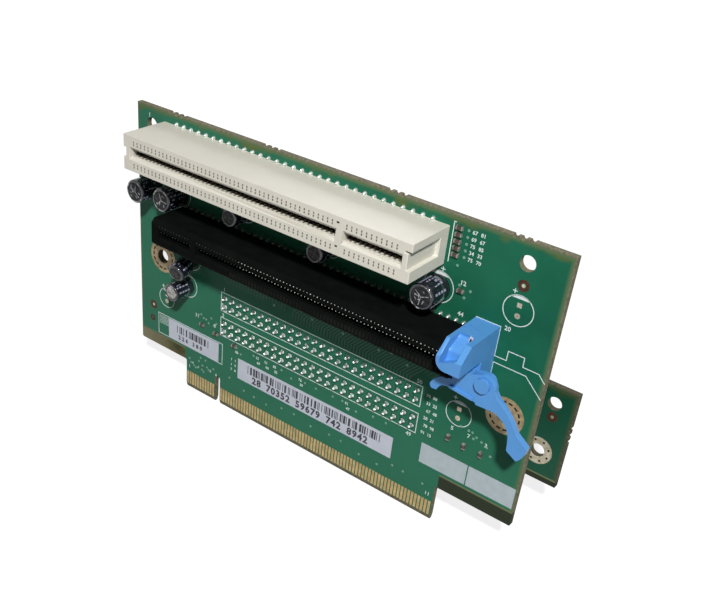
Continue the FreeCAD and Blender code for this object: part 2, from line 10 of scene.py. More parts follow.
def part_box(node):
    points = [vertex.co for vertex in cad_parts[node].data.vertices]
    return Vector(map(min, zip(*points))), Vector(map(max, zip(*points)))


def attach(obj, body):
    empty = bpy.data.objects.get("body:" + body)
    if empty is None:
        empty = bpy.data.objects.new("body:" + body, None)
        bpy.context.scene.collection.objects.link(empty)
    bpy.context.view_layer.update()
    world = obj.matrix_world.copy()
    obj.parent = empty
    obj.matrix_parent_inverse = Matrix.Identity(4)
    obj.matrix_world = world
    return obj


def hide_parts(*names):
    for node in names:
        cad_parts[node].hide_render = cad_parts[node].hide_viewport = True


bl_info = {
    "name": "Slot riser card",
    "version": (1, 0, 0),
    "blender": (4, 5, 0),
    "location": "View3D > Sidebar > Riser card",
    "description": "Builds the finish and the fine pieces of a slot riser card round its fixed frame",
    "category": "Object",
}

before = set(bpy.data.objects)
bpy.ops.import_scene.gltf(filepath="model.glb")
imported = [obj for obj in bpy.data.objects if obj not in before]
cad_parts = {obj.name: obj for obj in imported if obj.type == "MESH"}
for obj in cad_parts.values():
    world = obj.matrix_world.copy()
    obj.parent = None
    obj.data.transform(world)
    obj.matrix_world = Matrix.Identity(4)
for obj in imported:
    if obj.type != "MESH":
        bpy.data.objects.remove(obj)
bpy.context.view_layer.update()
MM = 0.001
BODY = "riser"


# ---------------------------------------------------------------- places read from the frame
def span(node):
    """Lowest and highest corner of a CAD node, in millimetres."""
    low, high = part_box(node)
    return low / MM, high / MM


BOARD_LOW, BOARD_HIGH = span("main_board")
LINK_LOW, LINK_HIGH = span("link_board")
PCI_LOW, PCI_HIGH = span("pci_slot_housing")
PCIE_LOW, PCIE_HIGH = span("pcie_slot_housing")
HEADER_SPANS = [span("header_upper_solder"), span("header_lower_solder")]
LATCH_LOW, LATCH_HIGH = span("latch_housing")
# Size, x, z, lean and twist in degrees.
CAPACITORS = (("large", -24.7, 58.3, 0.0, 200.0), ("large", -15.0, 58.9, 0.0, 230.0),
              ("large", 63.8, 62.1, 0.0, 20.0), ("small", -10.4, 41.6, 14.0, 30.0),
              ("small", -11.9, 33.2, 0.0, 10.0), ("small", 8.0, 61.6, 0.0, 190.0),
              ("small", 34.5, 61.6, 0.0, 250.0))
# Printed outline of each capacitor place: x, z, radius and where its plus mark stands.
CAP_PRINTS = ((83.0, 63.9, 3.5, -0.45), (74.5, 33.5, 3.3, -0.45), (-20.1, 26.0, 2.9, -0.45),
              (63.9, 62.2, 3.75, 0.12), (-12.0, 33.2, 3.5, -0.45), (-10.4, 41.6, 3.1, 0.3),
              (8.0, 61.6, 3.1, 0.3), (34.5, 61.6, 3.1, 0.3), (-24.7, 58.3, 3.75, 0.3),
              (-15.0, 58.9, 3.75, 0.3))
# Each with its x, z and the depth of its board's face.
FIDUCIALS = ((82.96, 69.67, 0.0), (-25.46, 21.86, 0.0), (88.9, 29.5, LINK_LOW.y))
# Solder joints as turned shapes: radius and height above the face.
JOINT = ((0.0, -0.02), (0.62, -0.02), (0.52, 0.22), (0.38, 0.5), (0.26, 0.72), (0.0, 0.8))
LOW_JOINT = ((0.0, -0.02), (0.6, -0.02), (0.4, 0.4), (0.25, 0.6), (0.0, 0.65))
PIN_JOINT = ((0.0, -0.02), (0.74, -0.02), (0.66, 0.12), (0.5, 0.38), (0.42, 0.72), (0.36, 1.0),
             (0.2, 1.18), (0.0, 1.24))
PIN_LAND = ((0.0, -0.03), (0.98, -0.03), (0.95, 0.02), (0.0, 0.03))


# ---------------------------------------------------------------- settings
def color_setting(name, description, default):
    """Colour that the panel shows."""
    return bpy.props.FloatVectorProperty(name=name, description=description, subtype="COLOR",
                                         size=3, min=0.0, max=1.0, default=default)


class RiserBoardSettings(bpy.types.PropertyGroup):
    """Sizes and colours of the boards and their print."""

    mask_color: color_setting("Mask colour", "Solder mask over bare laminate", (0.008, 0.105, 0.058))
    copper_mask_color: color_setting("Mask on copper", "Solder mask over copper",
                                     (0.014, 0.145, 0.078))
    laminate_color: color_setting("Laminate colour", "Bare glass laminate at the edges",
                                  (0.235, 0.22, 0.145))
    print_color: color_setting("Print colour", "White print", (0.74, 0.82, 0.80))
    box_color: color_setting("Print box colour", "White printed boxes", (0.48, 0.56, 0.585))
    print_width: bpy.props.FloatProperty(
        name="Print line width", description="Width of a printed line, in millimetres",
        min=0.05, max=0.6, default=0.2)
    print_lift: bpy.props.FloatProperty(
        name="Print thickness", description="How far print stands off the board, in millimetres",
        min=0.005, max=0.1, default=0.02)


class RiserPartSettings(bpy.types.PropertyGroup):
    """Colours of the slots, the latch and the capacitors."""

    ivory_color: color_setting("Upper slot colour", "Ivory nylon of the upper slot",
                               (0.73, 0.70, 0.61))
    black_color: color_setting("Lower slot colour", "Black nylon of the lower slot",
                               (0.0045, 0.0055, 0.005))
    latch_color: color_setting("Latch colour", "Light blue plastic of the latch", (0.092, 0.30, 0.66))
    sleeve_color: color_setting("Sleeve colour", "Shrink sleeve of the capacitors",
                                (0.008, 0.008, 0.014))


class RiserStageSettings(bpy.types.PropertyGroup):
    """Camera and light."""

    camera_place: bpy.props.FloatVectorProperty(
        name="Camera place", description="Where the camera stands", subtype="TRANSLATION",
        unit="LENGTH", size=3, default=(0.1506, -0.1654, 0.1560))
    camera_turn: bpy.props.FloatVectorProperty(
        name="Camera turn", description="Camera rotation as XYZ angles", subtype="EULER",
        unit="ROTATION", size=3,
        default=(math.radians(56.57), math.radians(-3.92), math.radians(39.36)))
    lens: bpy.props.FloatProperty(
        name="Lens", description="Focal length in millimetres on a 36 mm sensor", min=1.0,
        default=47.71)
    shift: bpy.props.FloatVectorProperty(
        name="Shift", description="Camera shift", size=2, default=(0.0881, 0.1080))
    key_energy: bpy.props.FloatProperty(
        name="Key light", description="Strength of the key light in watts", min=0.0, default=5.2)
    back_energy: bpy.props.FloatProperty(
        name="Back light", description="Strength of the light behind the boards in watts", min=0.0,
        default=1.7)
    world_strength: bpy.props.FloatProperty(
        name="Room light", description="Strength of the even light", min=0.0, default=0.03)


# ---------------------------------------------------------------- mesh helpers
def corner_normal(before, here, after):
    """Mitre offset direction at a corner of a line, scaled so that the width stays even."""
    a = (here - before).normalized()
    b = (after - here).normalized()
    normal_a = Vector((-a.y, a.x))
    normal_b = Vector((-b.y, b.x))
    mitre = normal_a + normal_b
    if mitre.length < 1e-6:
        return normal_a
    mitre.normalize()
    return mitre / max(0.35, mitre.dot(normal_a))


def add_prism(bm, outline, y0, y1):
    """Closed prism: an (x, z) outline in millimetres, between two depths."""
    low = [bm.verts.new((x * MM, y0 * MM, z * MM)) for x, z in outline]
    high = [bm.verts.new((x * MM, y1 * MM, z * MM)) for x, z in outline]
    bm.faces.new(low)
    bm.faces.new(list(reversed(high)))
    count = len(outline)
    for i in range(count):
        j = (i + 1) % count
        bm.faces.new((low[j], low[i], high[i], high[j]))


def add_strip(bm, points, width, y0, y1, closed=False):
    """Closed raised line of even width along (x, z) points."""
    line = [Vector(p) for p in points]
    count = len(line)
    left, right = [], []
    for i, here in enumerate(line):
        before = line[i - 1] if (i > 0 or closed) else here * 2 - line[1]
        after = line[(i + 1) % count] if (i < count - 1 or closed) else here * 2 - line[-2]
        offset = corner_normal(before, here, after) * (width / 2)
        left.append(here + offset)
        right.append(here - offset)
    rows = []
    for side, y in ((left, y0), (right, y0), (right, y1), (left, y1)):
        rows.append([bm.verts.new((p.x * MM, y * MM, p.y * MM)) for p in side])
    last = count if closed else count - 1
    for i in range(last):
        j = (i + 1) % count
        for k in range(4):
            a, b = rows[k], rows[(k + 1) % 4]
            bm.faces.new((a[i], a[j], b[j], b[i]))
    if not closed:
        bm.faces.new([row[0] for row in rows])
        bm.faces.new([row[-1] for row in reversed(rows)])


def circle(x, z, radius, count=32, start=0.0, sweep=360.0):
    """Points of a circle or of an arc, in millimetres."""
    whole = abs(sweep) >= 359.9
    steps = count if whole else count + 1
    angles = [math.radians(start + sweep * i / count) for i in range(steps)]
    return [(x + radius * math.cos(a), z + radius * math.sin(a)) for a in angles]


def add_ring(bm, x, z, inner, outer, y0, y1, count=32):
    """Closed flat ring."""
    add_strip(bm, circle(x, z, (inner + outer) / 2, count), outer - inner, y0, y1, closed=True)


def corners(x0, z0, x1, z1):
    """The four corners of an upright rectangle."""
    return [(x0, z0), (x1, z0), (x1, z1), (x0, z1)]


def add_box(bm, low, high):
    """Closed box between two corners in millimetres."""
    add_prism(bm, corners(low[0], low[2], high[0], high[2]), low[1], high[1])


def add_turned(bm, x, z, profile, count=24, outward=-1.0, y_face=0.0):
    """Turned solid standing on a board face: profile is (radius, height) from the centre out."""
    rings = []
    for radius, height in profile:
        y = (y_face + outward * height) * MM
        if radius < 1e-6:
            rings.append([bm.verts.new((x * MM, y, z * MM))])
        else:
            rings.append([bm.verts.new((px * MM, y, pz * MM))
                          for px, pz in circle(x, z, radius, count)])
    for a, b in zip(rings, rings[1:]):
        for i in range(count):
            j = (i + 1) % count
            if len(a) == 1:
                bm.faces.new((a[0], b[i], b[j]))
            elif len(b) == 1:
                bm.faces.new((a[j], a[i], b[0]))
            else:
                bm.faces.new((a[j], a[i], b[i], b[j]))


def add_wrap(bm, radius, angle0, angle1, y0, y1, thick, steps=6):
    """Closed curved patch on a cylinder that stands along Y at the origin; angles in degrees."""
    rows = []
    for r, y in ((radius, y0), (radius + thick, y0), (radius + thick, y1), (radius, y1)):
        arc = [math.radians(angle0 + (angle1 - angle0) * i / steps) for i in range(steps + 1)]
        rows.append([bm.verts.new((r * math.cos(a) * MM, y * MM, r * math.sin(a) * MM))
                     for a in arc])
    for i in range(steps):
        for k in range(4):
            a, b = rows[k], rows[(k + 1) % 4]
            bm.faces.new((a[i], a[i + 1], b[i + 1], b[i]))
    bm.faces.new([row[0] for row in rows])
    bm.faces.new([row[-1] for row in reversed(rows)])


def finish_mesh(bm, name, material, smooth=0.0):
    """Turns built geometry into a piece that rides on the boards."""
    bmesh.ops.recalc_face_normals(bm, faces=bm.faces)
    mesh = bpy.data.meshes.new(name)
    bm.to_mesh(mesh)
    bm.free()
    piece = bpy.data.objects.new(name, mesh)
    bpy.context.scene.collection.objects.link(piece)
    mesh.materials.append(material)
    if smooth > 0.0:
        mesh.shade_smooth()
        mesh.set_sharp_from_angle(angle=math.radians(smooth))
    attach(piece, BODY)
    return piece


def soften(node, width_mm, segments=2, angle=35.0):
    """Rounds the sharp edges of a CAD node in its render, without touching its mesh."""
    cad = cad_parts[node]
    weld = cad.modifiers.new("weld", "WELD")
    weld.merge_threshold = 0.002 * MM
    bevel = cad.modifiers.new("edge_round", "BEVEL")
    bevel.width = width_mm * MM
    bevel.segments = segments
    bevel.limit_method = "ANGLE"
    bevel.angle_limit = math.radians(angle)
    bevel.use_clamp_overlap = True
    bevel.harden_normals = False


def dress(node, material):
    """Gives a CAD node its finish."""
    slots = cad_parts[node].data.materials
    if len(slots) == 0:
        slots.append(material)
    for i in range(len(slots)):
        slots[i] = material


# ---------------------------------------------------------------- shader helpers
def new_node(tree, kind, **settings):
    """Adds a shader node with its settings."""
    node = tree.nodes.new("ShaderNode" + kind)
    for key, value in settings.items():
        setattr(node, key, value)
    return node


def feed(tree, socket, value):
    """Links a socket to another one, or gives it a plain number or colour."""
    if isinstance(value, bpy.types.NodeSocket):
        tree.links.new(value, socket)
    elif isinstance(value, tuple):
        socket.default_value = (*value, 1.0)
    else:
        socket.default_value = value


def maths(tree, operation, *values):
    """Result of a maths node over sockets or numbers."""
    node = new_node(tree, "Math", operation=operation)
    for socket, value in zip(node.inputs, values):
        feed(tree, socket, value)
    return node.outputs["Value"]


def step_mask(tree, value, edge, above=True):
    """One where a value is above (or below) an edge."""
    return maths(tree, "GREATER_THAN" if above else "LESS_THAN", value, edge)


def carry(tree, value, start, end, to_start=0.0, to_end=1.0, curve="LINEAR"):
    """A value carried from one range to another."""
    node = new_node(tree, "MapRange", interpolation_type=curve)
    for key, number in (("Value", value), ("From Min", start), ("From Max", end),
                        ("To Min", to_start), ("To Max", to_end)):
        feed(tree, node.inputs[key], number)
    return node.outputs["Result"]


def ramp_down(tree, value, near, far):
    """One at and below the near value, fading to zero at the far one."""
    return carry(tree, value, near, far, 1.0, 0.0, "SMOOTHSTEP")


def blend(tree, mask, a, b, kind="RGBA"):
    """Colour (or number) a where the mask is zero and b where it is one."""
    node = new_node(tree, "Mix", data_type=kind)
    for key, value in (("Factor", mask), ("A", a), ("B", b)):
        feed(tree, node.inputs[key], value)
    return node.outputs["Result"]


def axes(tree, source="Object"):
    """X, Y and Z of a texture coordinate."""
    node = new_node(tree, "SeparateXYZ")
    feed(tree, node.inputs["Vector"], new_node(tree, "TexCoord").outputs[source])
    return node.outputs


def cloud_noise(tree, scale, detail):
    """Cloudy noise in object space."""
    node = new_node(tree, "TexNoise")
    feed(tree, node.inputs["Vector"], new_node(tree, "TexCoord").outputs["Object"])
    feed(tree, node.inputs["Scale"], scale)
    feed(tree, node.inputs["Detail"], detail)
    return node.outputs["Fac"]


# ---------------------------------------------------------------- shared shader groups
def new_group(name, inputs, outputs):
    """Empty node group; inputs are names with values and outputs are names with kinds."""
    group = bpy.data.node_groups.new(name, "ShaderNodeTree")
    for key, value in inputs.items():
        kind = "NodeSocketColor" if isinstance(value, tuple) else "NodeSocketFloat"
        group.interface.new_socket(name=key, in_out="INPUT", socket_type=kind).default_value = value
    for key, kind in outputs.items():
        group.interface.new_socket(name=key, in_out="OUTPUT", socket_type=kind)
    return group, group.nodes.new("NodeGroupInput"), group.nodes.new("NodeGroupOutput")


def build_mottle_group():
    """Two colours mixed by soft cloudy noise."""
    group, given, made = new_group("mottle", {"Color A": (1, 1, 1, 1), "Color B": (0, 0, 0, 1),
                                              "Scale": 400.0, "Amount": 0.5},
                                   {"Color": "NodeSocketColor"})
    cloud = cloud_noise(group, given.outputs["Scale"], 4.0)
    share = maths(group, "MULTIPLY", carry(group, cloud, 0.35, 0.65), given.outputs["Amount"])
    color = blend(group, share, given.outputs["Color A"], given.outputs["Color B"])
    feed(group, made.inputs["Color"], color)
    return group


def build_grain_group():
    """Fine surface grain: a bump normal and an uneven roughness."""
    group, given, made = new_group("grain", {"Scale": 3000.0, "Strength": 0.1, "Depth": 0.00005,
                                             "Rough Low": 0.3, "Rough High": 0.5},
                                   {"Normal": "NodeSocketVector", "Roughness": "NodeSocketFloat"})
    cloud = cloud_noise(group, given.outputs["Scale"], 3.0)
    bump = new_node(group, "Bump")
    for key, value in (("Height", cloud), ("Strength", given.outputs["Strength"]),
                       ("Distance", given.outputs["Depth"])):
        feed(group, bump.inputs[key], value)
    feed(group, made.inputs["Normal"], bump.outputs["Normal"])
    rough = carry(group, cloud, 0.3, 0.7, given.outputs["Rough Low"], given.outputs["Rough High"])
    feed(group, made.inputs["Roughness"], rough)
    return group


GROUP_BUILDERS = {"mottle": build_mottle_group, "grain": build_grain_group}


def add_group(material, name, *values):
    """Outputs of a shared group, built on first use, with its inputs filled in order."""
    node = new_node(material.node_tree, "Group")
    node.node_tree = bpy.data.node_groups.get(name) or GROUP_BUILDERS[name]()
    for socket, value in zip(node.inputs, values):
        feed(material.node_tree, socket, value)
    return node.outputs


def new_material(name):
    """Empty material and its main shader."""
    material = bpy.data.materials.new(name)
    material.use_nodes = True
    return material, material.node_tree.nodes["Principled BSDF"]


def surface(name, colors, mottle, grain, rough, metallic=0.0, coat=0.0, specular=0.5):
    """Principled material with mottled colour and fine grain, made once for each name."""
    name = "finish_" + name
    if name in bpy.data.materials:
        return bpy.data.materials[name]
    material, shader = new_material(name)
    tone = add_group(material, "mottle", *colors, *mottle)
    fine = add_group(material, "grain", *grain, *rough)
    for key, value in (("Metallic", metallic), ("Coat Weight", coat), ("Specular IOR Level", specular),
                       ("Base Color", tone["Color"]), ("Normal", fine["Normal"]),
                       ("Roughness", fine["Roughness"])):
        feed(material.node_tree, shader.inputs[key], value)
    return material


# ---------------------------------------------------------------- materials
# Each grain is its scale, its strength and its depth in metres.
PRINT_GRAIN = (6000.0, 0.15, 0.00002)
NYLON_GRAIN = (3500.0, 0.12, 0.00004)
FINE_GRAIN = (3000.0, 0.1, 0.00003)
INK_GRAIN = (4000.0, 0.1, 0.00002)
CAST_GRAIN = (2500.0, 0.3, 0.00008)
CAN_GRAIN = (1500.0, 0.35, 0.0001)
MASK_GRAIN = (2500.0, 0.06, 0.00004)


def shade_of(color, factor):
    """A colour made darker or lighter."""
    return tuple(min(1.0, c * factor) for c in color)


def two_shades(group, name, first, second):
    """Two shades of a colour that the panel sets."""
    color = getattr(getattr(bpy.context.scene, group), name)
    return shade_of(color, first), shade_of(color, second)


def print_material():
    return surface("board_print", two_shades("riser_board", "print_color", 1.0, 0.93), (900.0, 0.6),
                   PRINT_GRAIN, (0.5, 0.7), specular=0.3)


def box_material():
    return surface("print_box", two_shades("riser_board", "box_color", 1.0, 0.88), (500.0, 0.8),
                   PRINT_GRAIN, (0.5, 0.7), specular=0.3)


def gold_material():
    return surface("gold_plating", ((0.50, 0.36, 0.17), (0.32, 0.22, 0.095)), (500.0, 0.8),
                   (5000.0, 0.08, 0.00002), (0.26, 0.42), metallic=0.9)


# Painted shade: the slot contacts made near black brown, as they sit deep in the slots.
def bronze_material():
    return surface("contact_bronze", ((0.035, 0.016, 0.011), (0.012, 0.007, 0.006)), (700.0, 0.8),
                   FINE_GRAIN, (0.45, 0.6), metallic=0.1, specular=0.05)


def ring_material():
    return surface("ring_plating", ((0.40, 0.32, 0.18), (0.24, 0.165, 0.08)), (650.0, 1.0), CAST_GRAIN,
                   (0.35, 0.6), metallic=0.35)


def tin_material():
    return surface("tin_plating", ((0.58, 0.54, 0.42), (0.36, 0.31, 0.2)), (900.0, 0.9), CAST_GRAIN,
                   (0.3, 0.5), metallic=0.5)


def solder_material():
    return surface("solder", ((0.84, 0.89, 0.86), (0.46, 0.51, 0.48)), (900.0, 0.9), (2200.0, 0.1, 0.00005),
                   (0.14, 0.26), metallic=0.9)


# Painted shade: a dark copy of solder for joints, contact tips and score lines that lie in shadow.
def dull_solder_material():
    return surface("dull_solder", ((0.10, 0.105, 0.085), (0.04, 0.043, 0.034)), (900.0, 0.9),
                   (2200.0, 0.2, 0.00005), (0.4, 0.55), metallic=0.3, specular=0.15)


# Painted glint: bright tips of the contacts in the lower slot's mouth.
def tip_material():
    return surface("contact_tips", ((0.80, 0.80, 0.78), (0.50, 0.46, 0.40)), (1800.0, 0.9), FINE_GRAIN,
                   (0.3, 0.45), metallic=0.3)


def black_material():
    return surface("black_nylon", two_shades("riser_part", "black_color", 1.0, 1.6), (300.0, 0.6),
                   NYLON_GRAIN, (0.5, 0.65), specular=0.006)


# Painted light: black a little lighter than the housing, for the lit faces of the ribs.
def rib_material():
    return surface("black_nylon_ribs", ((0.019, 0.020, 0.017), (0.009, 0.010, 0.009)), (140.0, 1.0),
                   NYLON_GRAIN, (0.5, 0.65), specular=0.01)


def latch_material():
    return surface("latch_plastic", two_shades("riser_part", "latch_color", 1.0, 1.14), (260.0, 0.5),
                   (1500.0, 0.16, 0.00008), (0.32, 0.44), specular=0.4)


def sleeve_material():
    return surface("shrink_sleeve", two_shades("riser_part", "sleeve_color", 1.0, 1.8), (600.0, 0.6),
                   (1400.0, 0.14, 0.00006), (0.1, 0.22), coat=0.4)


def mark_material():
    return surface("sleeve_marks", ((0.42, 0.42, 0.52), (0.24, 0.24, 0.34)), (2200.0, 0.9), INK_GRAIN,
                   (0.3, 0.45))


# Painted reflection: the aluminium lid made dark, as if it mirrored dark surroundings.
def can_material():
    return surface("dark_aluminium", ((0.030, 0.031, 0.034), (0.010, 0.010, 0.012)), (1100.0, 1.0),
                   CAN_GRAIN, (0.25, 0.45), metallic=0.3, specular=0.12)


# Painted reflection: the aluminium lid made pale, as if it mirrored light surroundings.
def bright_can_material():
    return surface("bright_aluminium", ((0.52, 0.50, 0.47), (0.24, 0.23, 0.22)), (900.0, 1.0), CAN_GRAIN,
                   (0.35, 0.5), metallic=0.2, specular=0.2)


# Aluminium of the score lines; the same finish paints the glints and rim highlights on the lids.
def score_material():
    return surface("scored_aluminium", ((0.50, 0.52, 0.52), (0.06, 0.065, 0.07)), (1300.0, 1.0),
                   (2500.0, 0.2, 0.00005), (0.3, 0.45), metallic=0.6)


def paper_material():
    return surface("label_paper", ((0.62, 0.65, 0.73), (0.56, 0.59, 0.67)), (300.0, 0.7),
                   (4000.0, 0.2, 0.00003), (0.45, 0.6), specular=0.1)


def ink_material():
    return surface("label_ink", ((0.04, 0.035, 0.05), (0.085, 0.08, 0.10)), (2000.0, 0.8), INK_GRAIN,
                   (0.5, 0.6), specular=0.2)


def ceramic_material():
    return surface("chip_ceramic", ((0.115, 0.088, 0.07), (0.045, 0.036, 0.03)), (1500.0, 0.9),
                   (3000.0, 0.15, 0.00003), (0.35, 0.5), specular=0.25)


def chip_end_material():
    return surface("chip_ends", ((0.42, 0.41, 0.37), (0.16, 0.15, 0.13)), (2200.0, 1.0),
                   (2500.0, 0.3, 0.00005), (0.35, 0.5), metallic=0.2, specular=0.2)


# Painted shade of recesses: the contact windows and the teeth of the upper slot.
def recess_material():
    return surface("recess_shadow", ((0.10, 0.085, 0.06), (0.19, 0.165, 0.125)), (1600.0, 0.9), FINE_GRAIN,
                   (0.7, 0.9), specular=0.1)


# Painted shade: near black where there are holes, in the ring vias, the key marks and the hood's slit.
def dark_material():
    return surface("dark_recess", ((0.012, 0.010, 0.008), (0.03, 0.022, 0.016)), (1200.0, 0.8), FINE_GRAIN,
                   (0.6, 0.8), specular=0.1)


def trace_material():
    return surface("mask_on_copper", two_shades("riser_board", "copper_mask_color", 1.0, 0.8), (350.0, 0.7),
                   MASK_GRAIN, (0.3, 0.42), specular=0.25)


# Mask darker than the plain mask, in the gaps beside the fanned traces and in the rings round the header
# joints.
def shade_trace_material():
    return surface("mask_between_copper", two_shades("riser_board", "mask_color", 0.55, 0.42), (350.0, 0.7),
                   MASK_GRAIN, (0.35, 0.5), specular=0.15)


def via_material():
    return surface("tented_vias", ((0.22, 0.40, 0.30), (0.10, 0.25, 0.17)), (2600.0, 0.9),
                   (3000.0, 0.2, 0.00004), (0.25, 0.4), specular=0.4)


def copper_material():
    return surface("bare_copper_ring", ((0.095, 0.035, 0.022), (0.04, 0.018, 0.012)), (1200.0, 0.8),
                   (2500.0, 0.2, 0.00005), (0.45, 0.6), specular=0.15)


def shoulder_mask(tree, place, tongue, strip, lift):
    """One on the strip under each shoulder: beyond the tongue's end and below the strip's top."""
    sides = []
    for end, top, above in ((tongue[0], strip[0], False), (tongue[1], strip[1], True)):
        beyond = step_mask(tree, place["X"], end * MM, above)
        under = step_mask(tree, place["Z"], (top + lift) * MM, False)
        sides.append(maths(tree, "MULTIPLY", beyond, under))
    return maths(tree, "MAXIMUM", *sides)


def strip_color(material, place, low, tongue, shade):
    """Colour of the shoulder strips: brown that pales outward at the left, dark at the right."""
    tree = material.node_tree
    dark = add_group(material, "mottle", (0.17, 0.145, 0.05), (0.04, 0.042, 0.022), 210.0, 1.0)["Color"]
    fade = ramp_down(tree, place["X"], low.x * MM, tongue[0] * MM)
    left = blend(tree, fade, dark, shade_of((0.24, 0.225, 0.14), shade))
    far = step_mask(tree, place["X"], (tongue[0] + tongue[1]) / 2 * MM)
    return blend(tree, far, left, (0.034, 0.042, 0.026))


def board_material(name, low, high, shade, strip, tongue):
    """Green mask on the faces, bare laminate on the cut edges, margins and shoulder strips."""
    settings = bpy.context.scene.riser_board
    # A shade below one darkens the board's colours as painted shade.
    mask = shade_of(settings.mask_color, shade)
    copper = shade_of(settings.copper_mask_color, shade)
    laminate = shade_of(settings.laminate_color, shade)
    material, shader = new_material(name)
    tree = material.node_tree
    place = axes(tree)
    facing = maths(tree, "ABSOLUTE", axes(tree, "Normal")["Y"])
    tone = add_group(material, "mottle", mask, copper, 70.0, 0.8)["Color"]
    weave = add_group(material, "mottle", laminate, shade_of(laminate, 0.5), 1400.0, 0.9)["Color"]
    top = maths(tree, "SUBTRACT", high.z * MM, place["Z"])
    right = maths(tree, "SUBTRACT", high.x * MM, place["X"])
    left = maths(tree, "SUBTRACT", place["X"], low.x * MM)
    upper_right = maths(tree, "MINIMUM", top, right)
    nearest = maths(tree, "MINIMUM", upper_right, left)
    cloudy_top = maths(tree, "MULTIPLY_ADD", cloud_noise(tree, 160.0, 3.0), -7.0 * MM, top)
    bare = maths(tree, "MAXIMUM", step_mask(tree, facing, 0.97, above=False),
                 ramp_down(tree, nearest, 0.12 * MM, 0.4 * MM))
    # Painted sheen: a paler green that grows towards the left and the bottom of the board.
    painted_sheen = maths(tree, "MAXIMUM", ramp_down(tree, place["X"], (low.x - 10.0) * MM, high.x * MM),
                 ramp_down(tree, place["Z"], 16.0 * MM, 46.0 * MM))
    outer = shoulder_mask(tree, place, tongue, strip, 0.0)
    color = tone
    for cover, paint in (
            (maths(tree, "MULTIPLY", painted_sheen, 0.6), shade_of((0.044, 0.195, 0.118), shade)),
            (ramp_down(tree, cloudy_top, -3.9 * MM, -1.7 * MM), shade_of((0.105, 0.14, 0.042), shade)),
            (ramp_down(tree, upper_right, 0.4 * MM, 1.35 * MM), shade_of((0.105, 0.165, 0.08), shade)),
            (shoulder_mask(tree, place, tongue, strip, 0.5), (0.15, 0.18, 0.09)),
            (bare, weave)):
        color = blend(tree, cover, color, paint)
    strips = strip_color(material, place, low, tongue, shade)
    fine = add_group(material, "grain", 2500.0, 0.06, 0.00005, 0.28, 0.4)
    rough = blend(tree, maths(tree, "MAXIMUM", bare, outer), fine["Roughness"], 0.75, "FLOAT")
    for key, value in (("Base Color", blend(tree, outer, color, strips)), ("Normal", fine["Normal"]),
                       ("Roughness", rough), ("Specular IOR Level", 0.08)):
        feed(tree, shader.inputs[key], value)
    return material


# ---------------------------------------------------------------- print
# Printed number and its place.
PLAIN_NUMBERS = ((12, 69.6, 65.1), (20, 81.6, 59.0), (44, 70.3, 57.9), (1, -26.0, 76.9),
                 (50, 63.3, 37.0), (49, 62.6, 21.6), (1, 1.6, 37.0), (2, 1.4, 29.1),
                 (7, 78.0, 28.9), (3, 82.6, 28.6), (5, 73.6, 29.0), (31, -8.2, 25.2),
                 (8, -1.6, 24.6), (16, 73.8, 39.0), (1, -11.0, 7.3), (11, 70.4, 7.4),
                 (10, -17.0, 64.0), (62, 62.0, 65.9))


def add_digits(bm, body, size, x, z, y=0.0, weight=0.025):
    """Adds plain digits as closed raised shapes, at (x, z) on a face at depth y."""
    curve = bpy.data.curves.new("digits", "FONT")
    curve.body = str(body)
    curve.size = size * MM
    curve.extrude = 0.01 * MM
    curve.offset = weight * MM
    curve.resolution_u = 2
    curve.align_x = "CENTER"
    curve.align_y = "CENTER"
    holder = bpy.data.objects.new("digits", curve)
    bpy.context.scene.collection.objects.link(holder)
    holder.location = (x * MM, -0.012 * MM, z * MM)
    holder.rotation_euler.x = math.radians(90)
    bpy.context.view_layer.update()
    mesh = bpy.data.meshes.new_from_object(holder)
    mesh.transform(holder.matrix_world)
    mesh.transform(Matrix.Translation((0.0, y * MM, 0.0)))
    bm.from_mesh(mesh)
    bpy.data.objects.remove(holder)
    bpy.data.curves.remove(curve)
    bpy.data.meshes.remove(mesh)


def latch_lines(line):
    """Printed outline of the latch and of the card space beyond it."""
    card_z = (PCIE_LOW.z + PCIE_HIGH.z) / 2
    left, right, edge = LATCH_LOW.x, LATCH_LOW.x + 6.0, BOARD_HIGH.x
    line([(left, card_z + 7.0), (right, card_z + 7.0), (right, card_z - 0.2),
          (right + 2.85, card_z - 0.2), (right + 2.9, card_z + 2.15),
          (right + 6.75, card_z + 2.15), (right + 6.8, card_z - 0.1),
          (edge - 1.9, card_z - 0.15), (edge - 0.2, card_z - 1.9)])
    line([(right, card_z - 5.7), (right, card_z - 1.75), (edge - 4.6, card_z - 1.85),
          (edge - 0.2, card_z - 5.95)])


def header_lines(line):
    """Printed boxes round the headers, each with a small square at its first pin."""
    for low, high in HEADER_SPANS:
        x0, z0 = low.x - 0.65, low.z - 0.8
        line(corners(x0, z0, high.x + 0.65, high.z + 0.8), closed=True)
        line(corners(x0 + 0.35, z0 + 0.3, x0 + 2.0, z0 + 2.2), closed=True)


def label_lines(bm, line, lift):
    """Printed box round the small label, with a hatched field at its left."""
    low, high = span("small_label")
    x0 = low.x - 4.2
    line(corners(x0, low.z, high.x + 1.4, high.z + 0.3), closed=True)
    for number in range(7):
        z = high.z - 0.2 - 0.42 * number
        add_strip(bm, [(x0 + 0.5, z), (low.x, z)], 0.12, -lift, lift / 2)


def cap_print(bm, line, x, z, radius, plus, lift):
    """Round outline of a capacitor with its filled chord and plus mark."""
    width = bpy.context.scene.riser_board.print_width
    line(circle(x, z, radius, 48), closed=True)
    add_prism(bm, circle(x, z, radius, 10, start=50.0, sweep=80.0), -lift, lift / 2)
    plus_x, plus_z = x + radius * plus, z + radius * 1.18
    line([(plus_x - 0.55, plus_z), (plus_x + 0.55, plus_z)])
    add_strip(bm, [(plus_x, plus_z - 0.55), (plus_x, plus_z + 0.55)], width, -lift * 1.1, lift / 2)


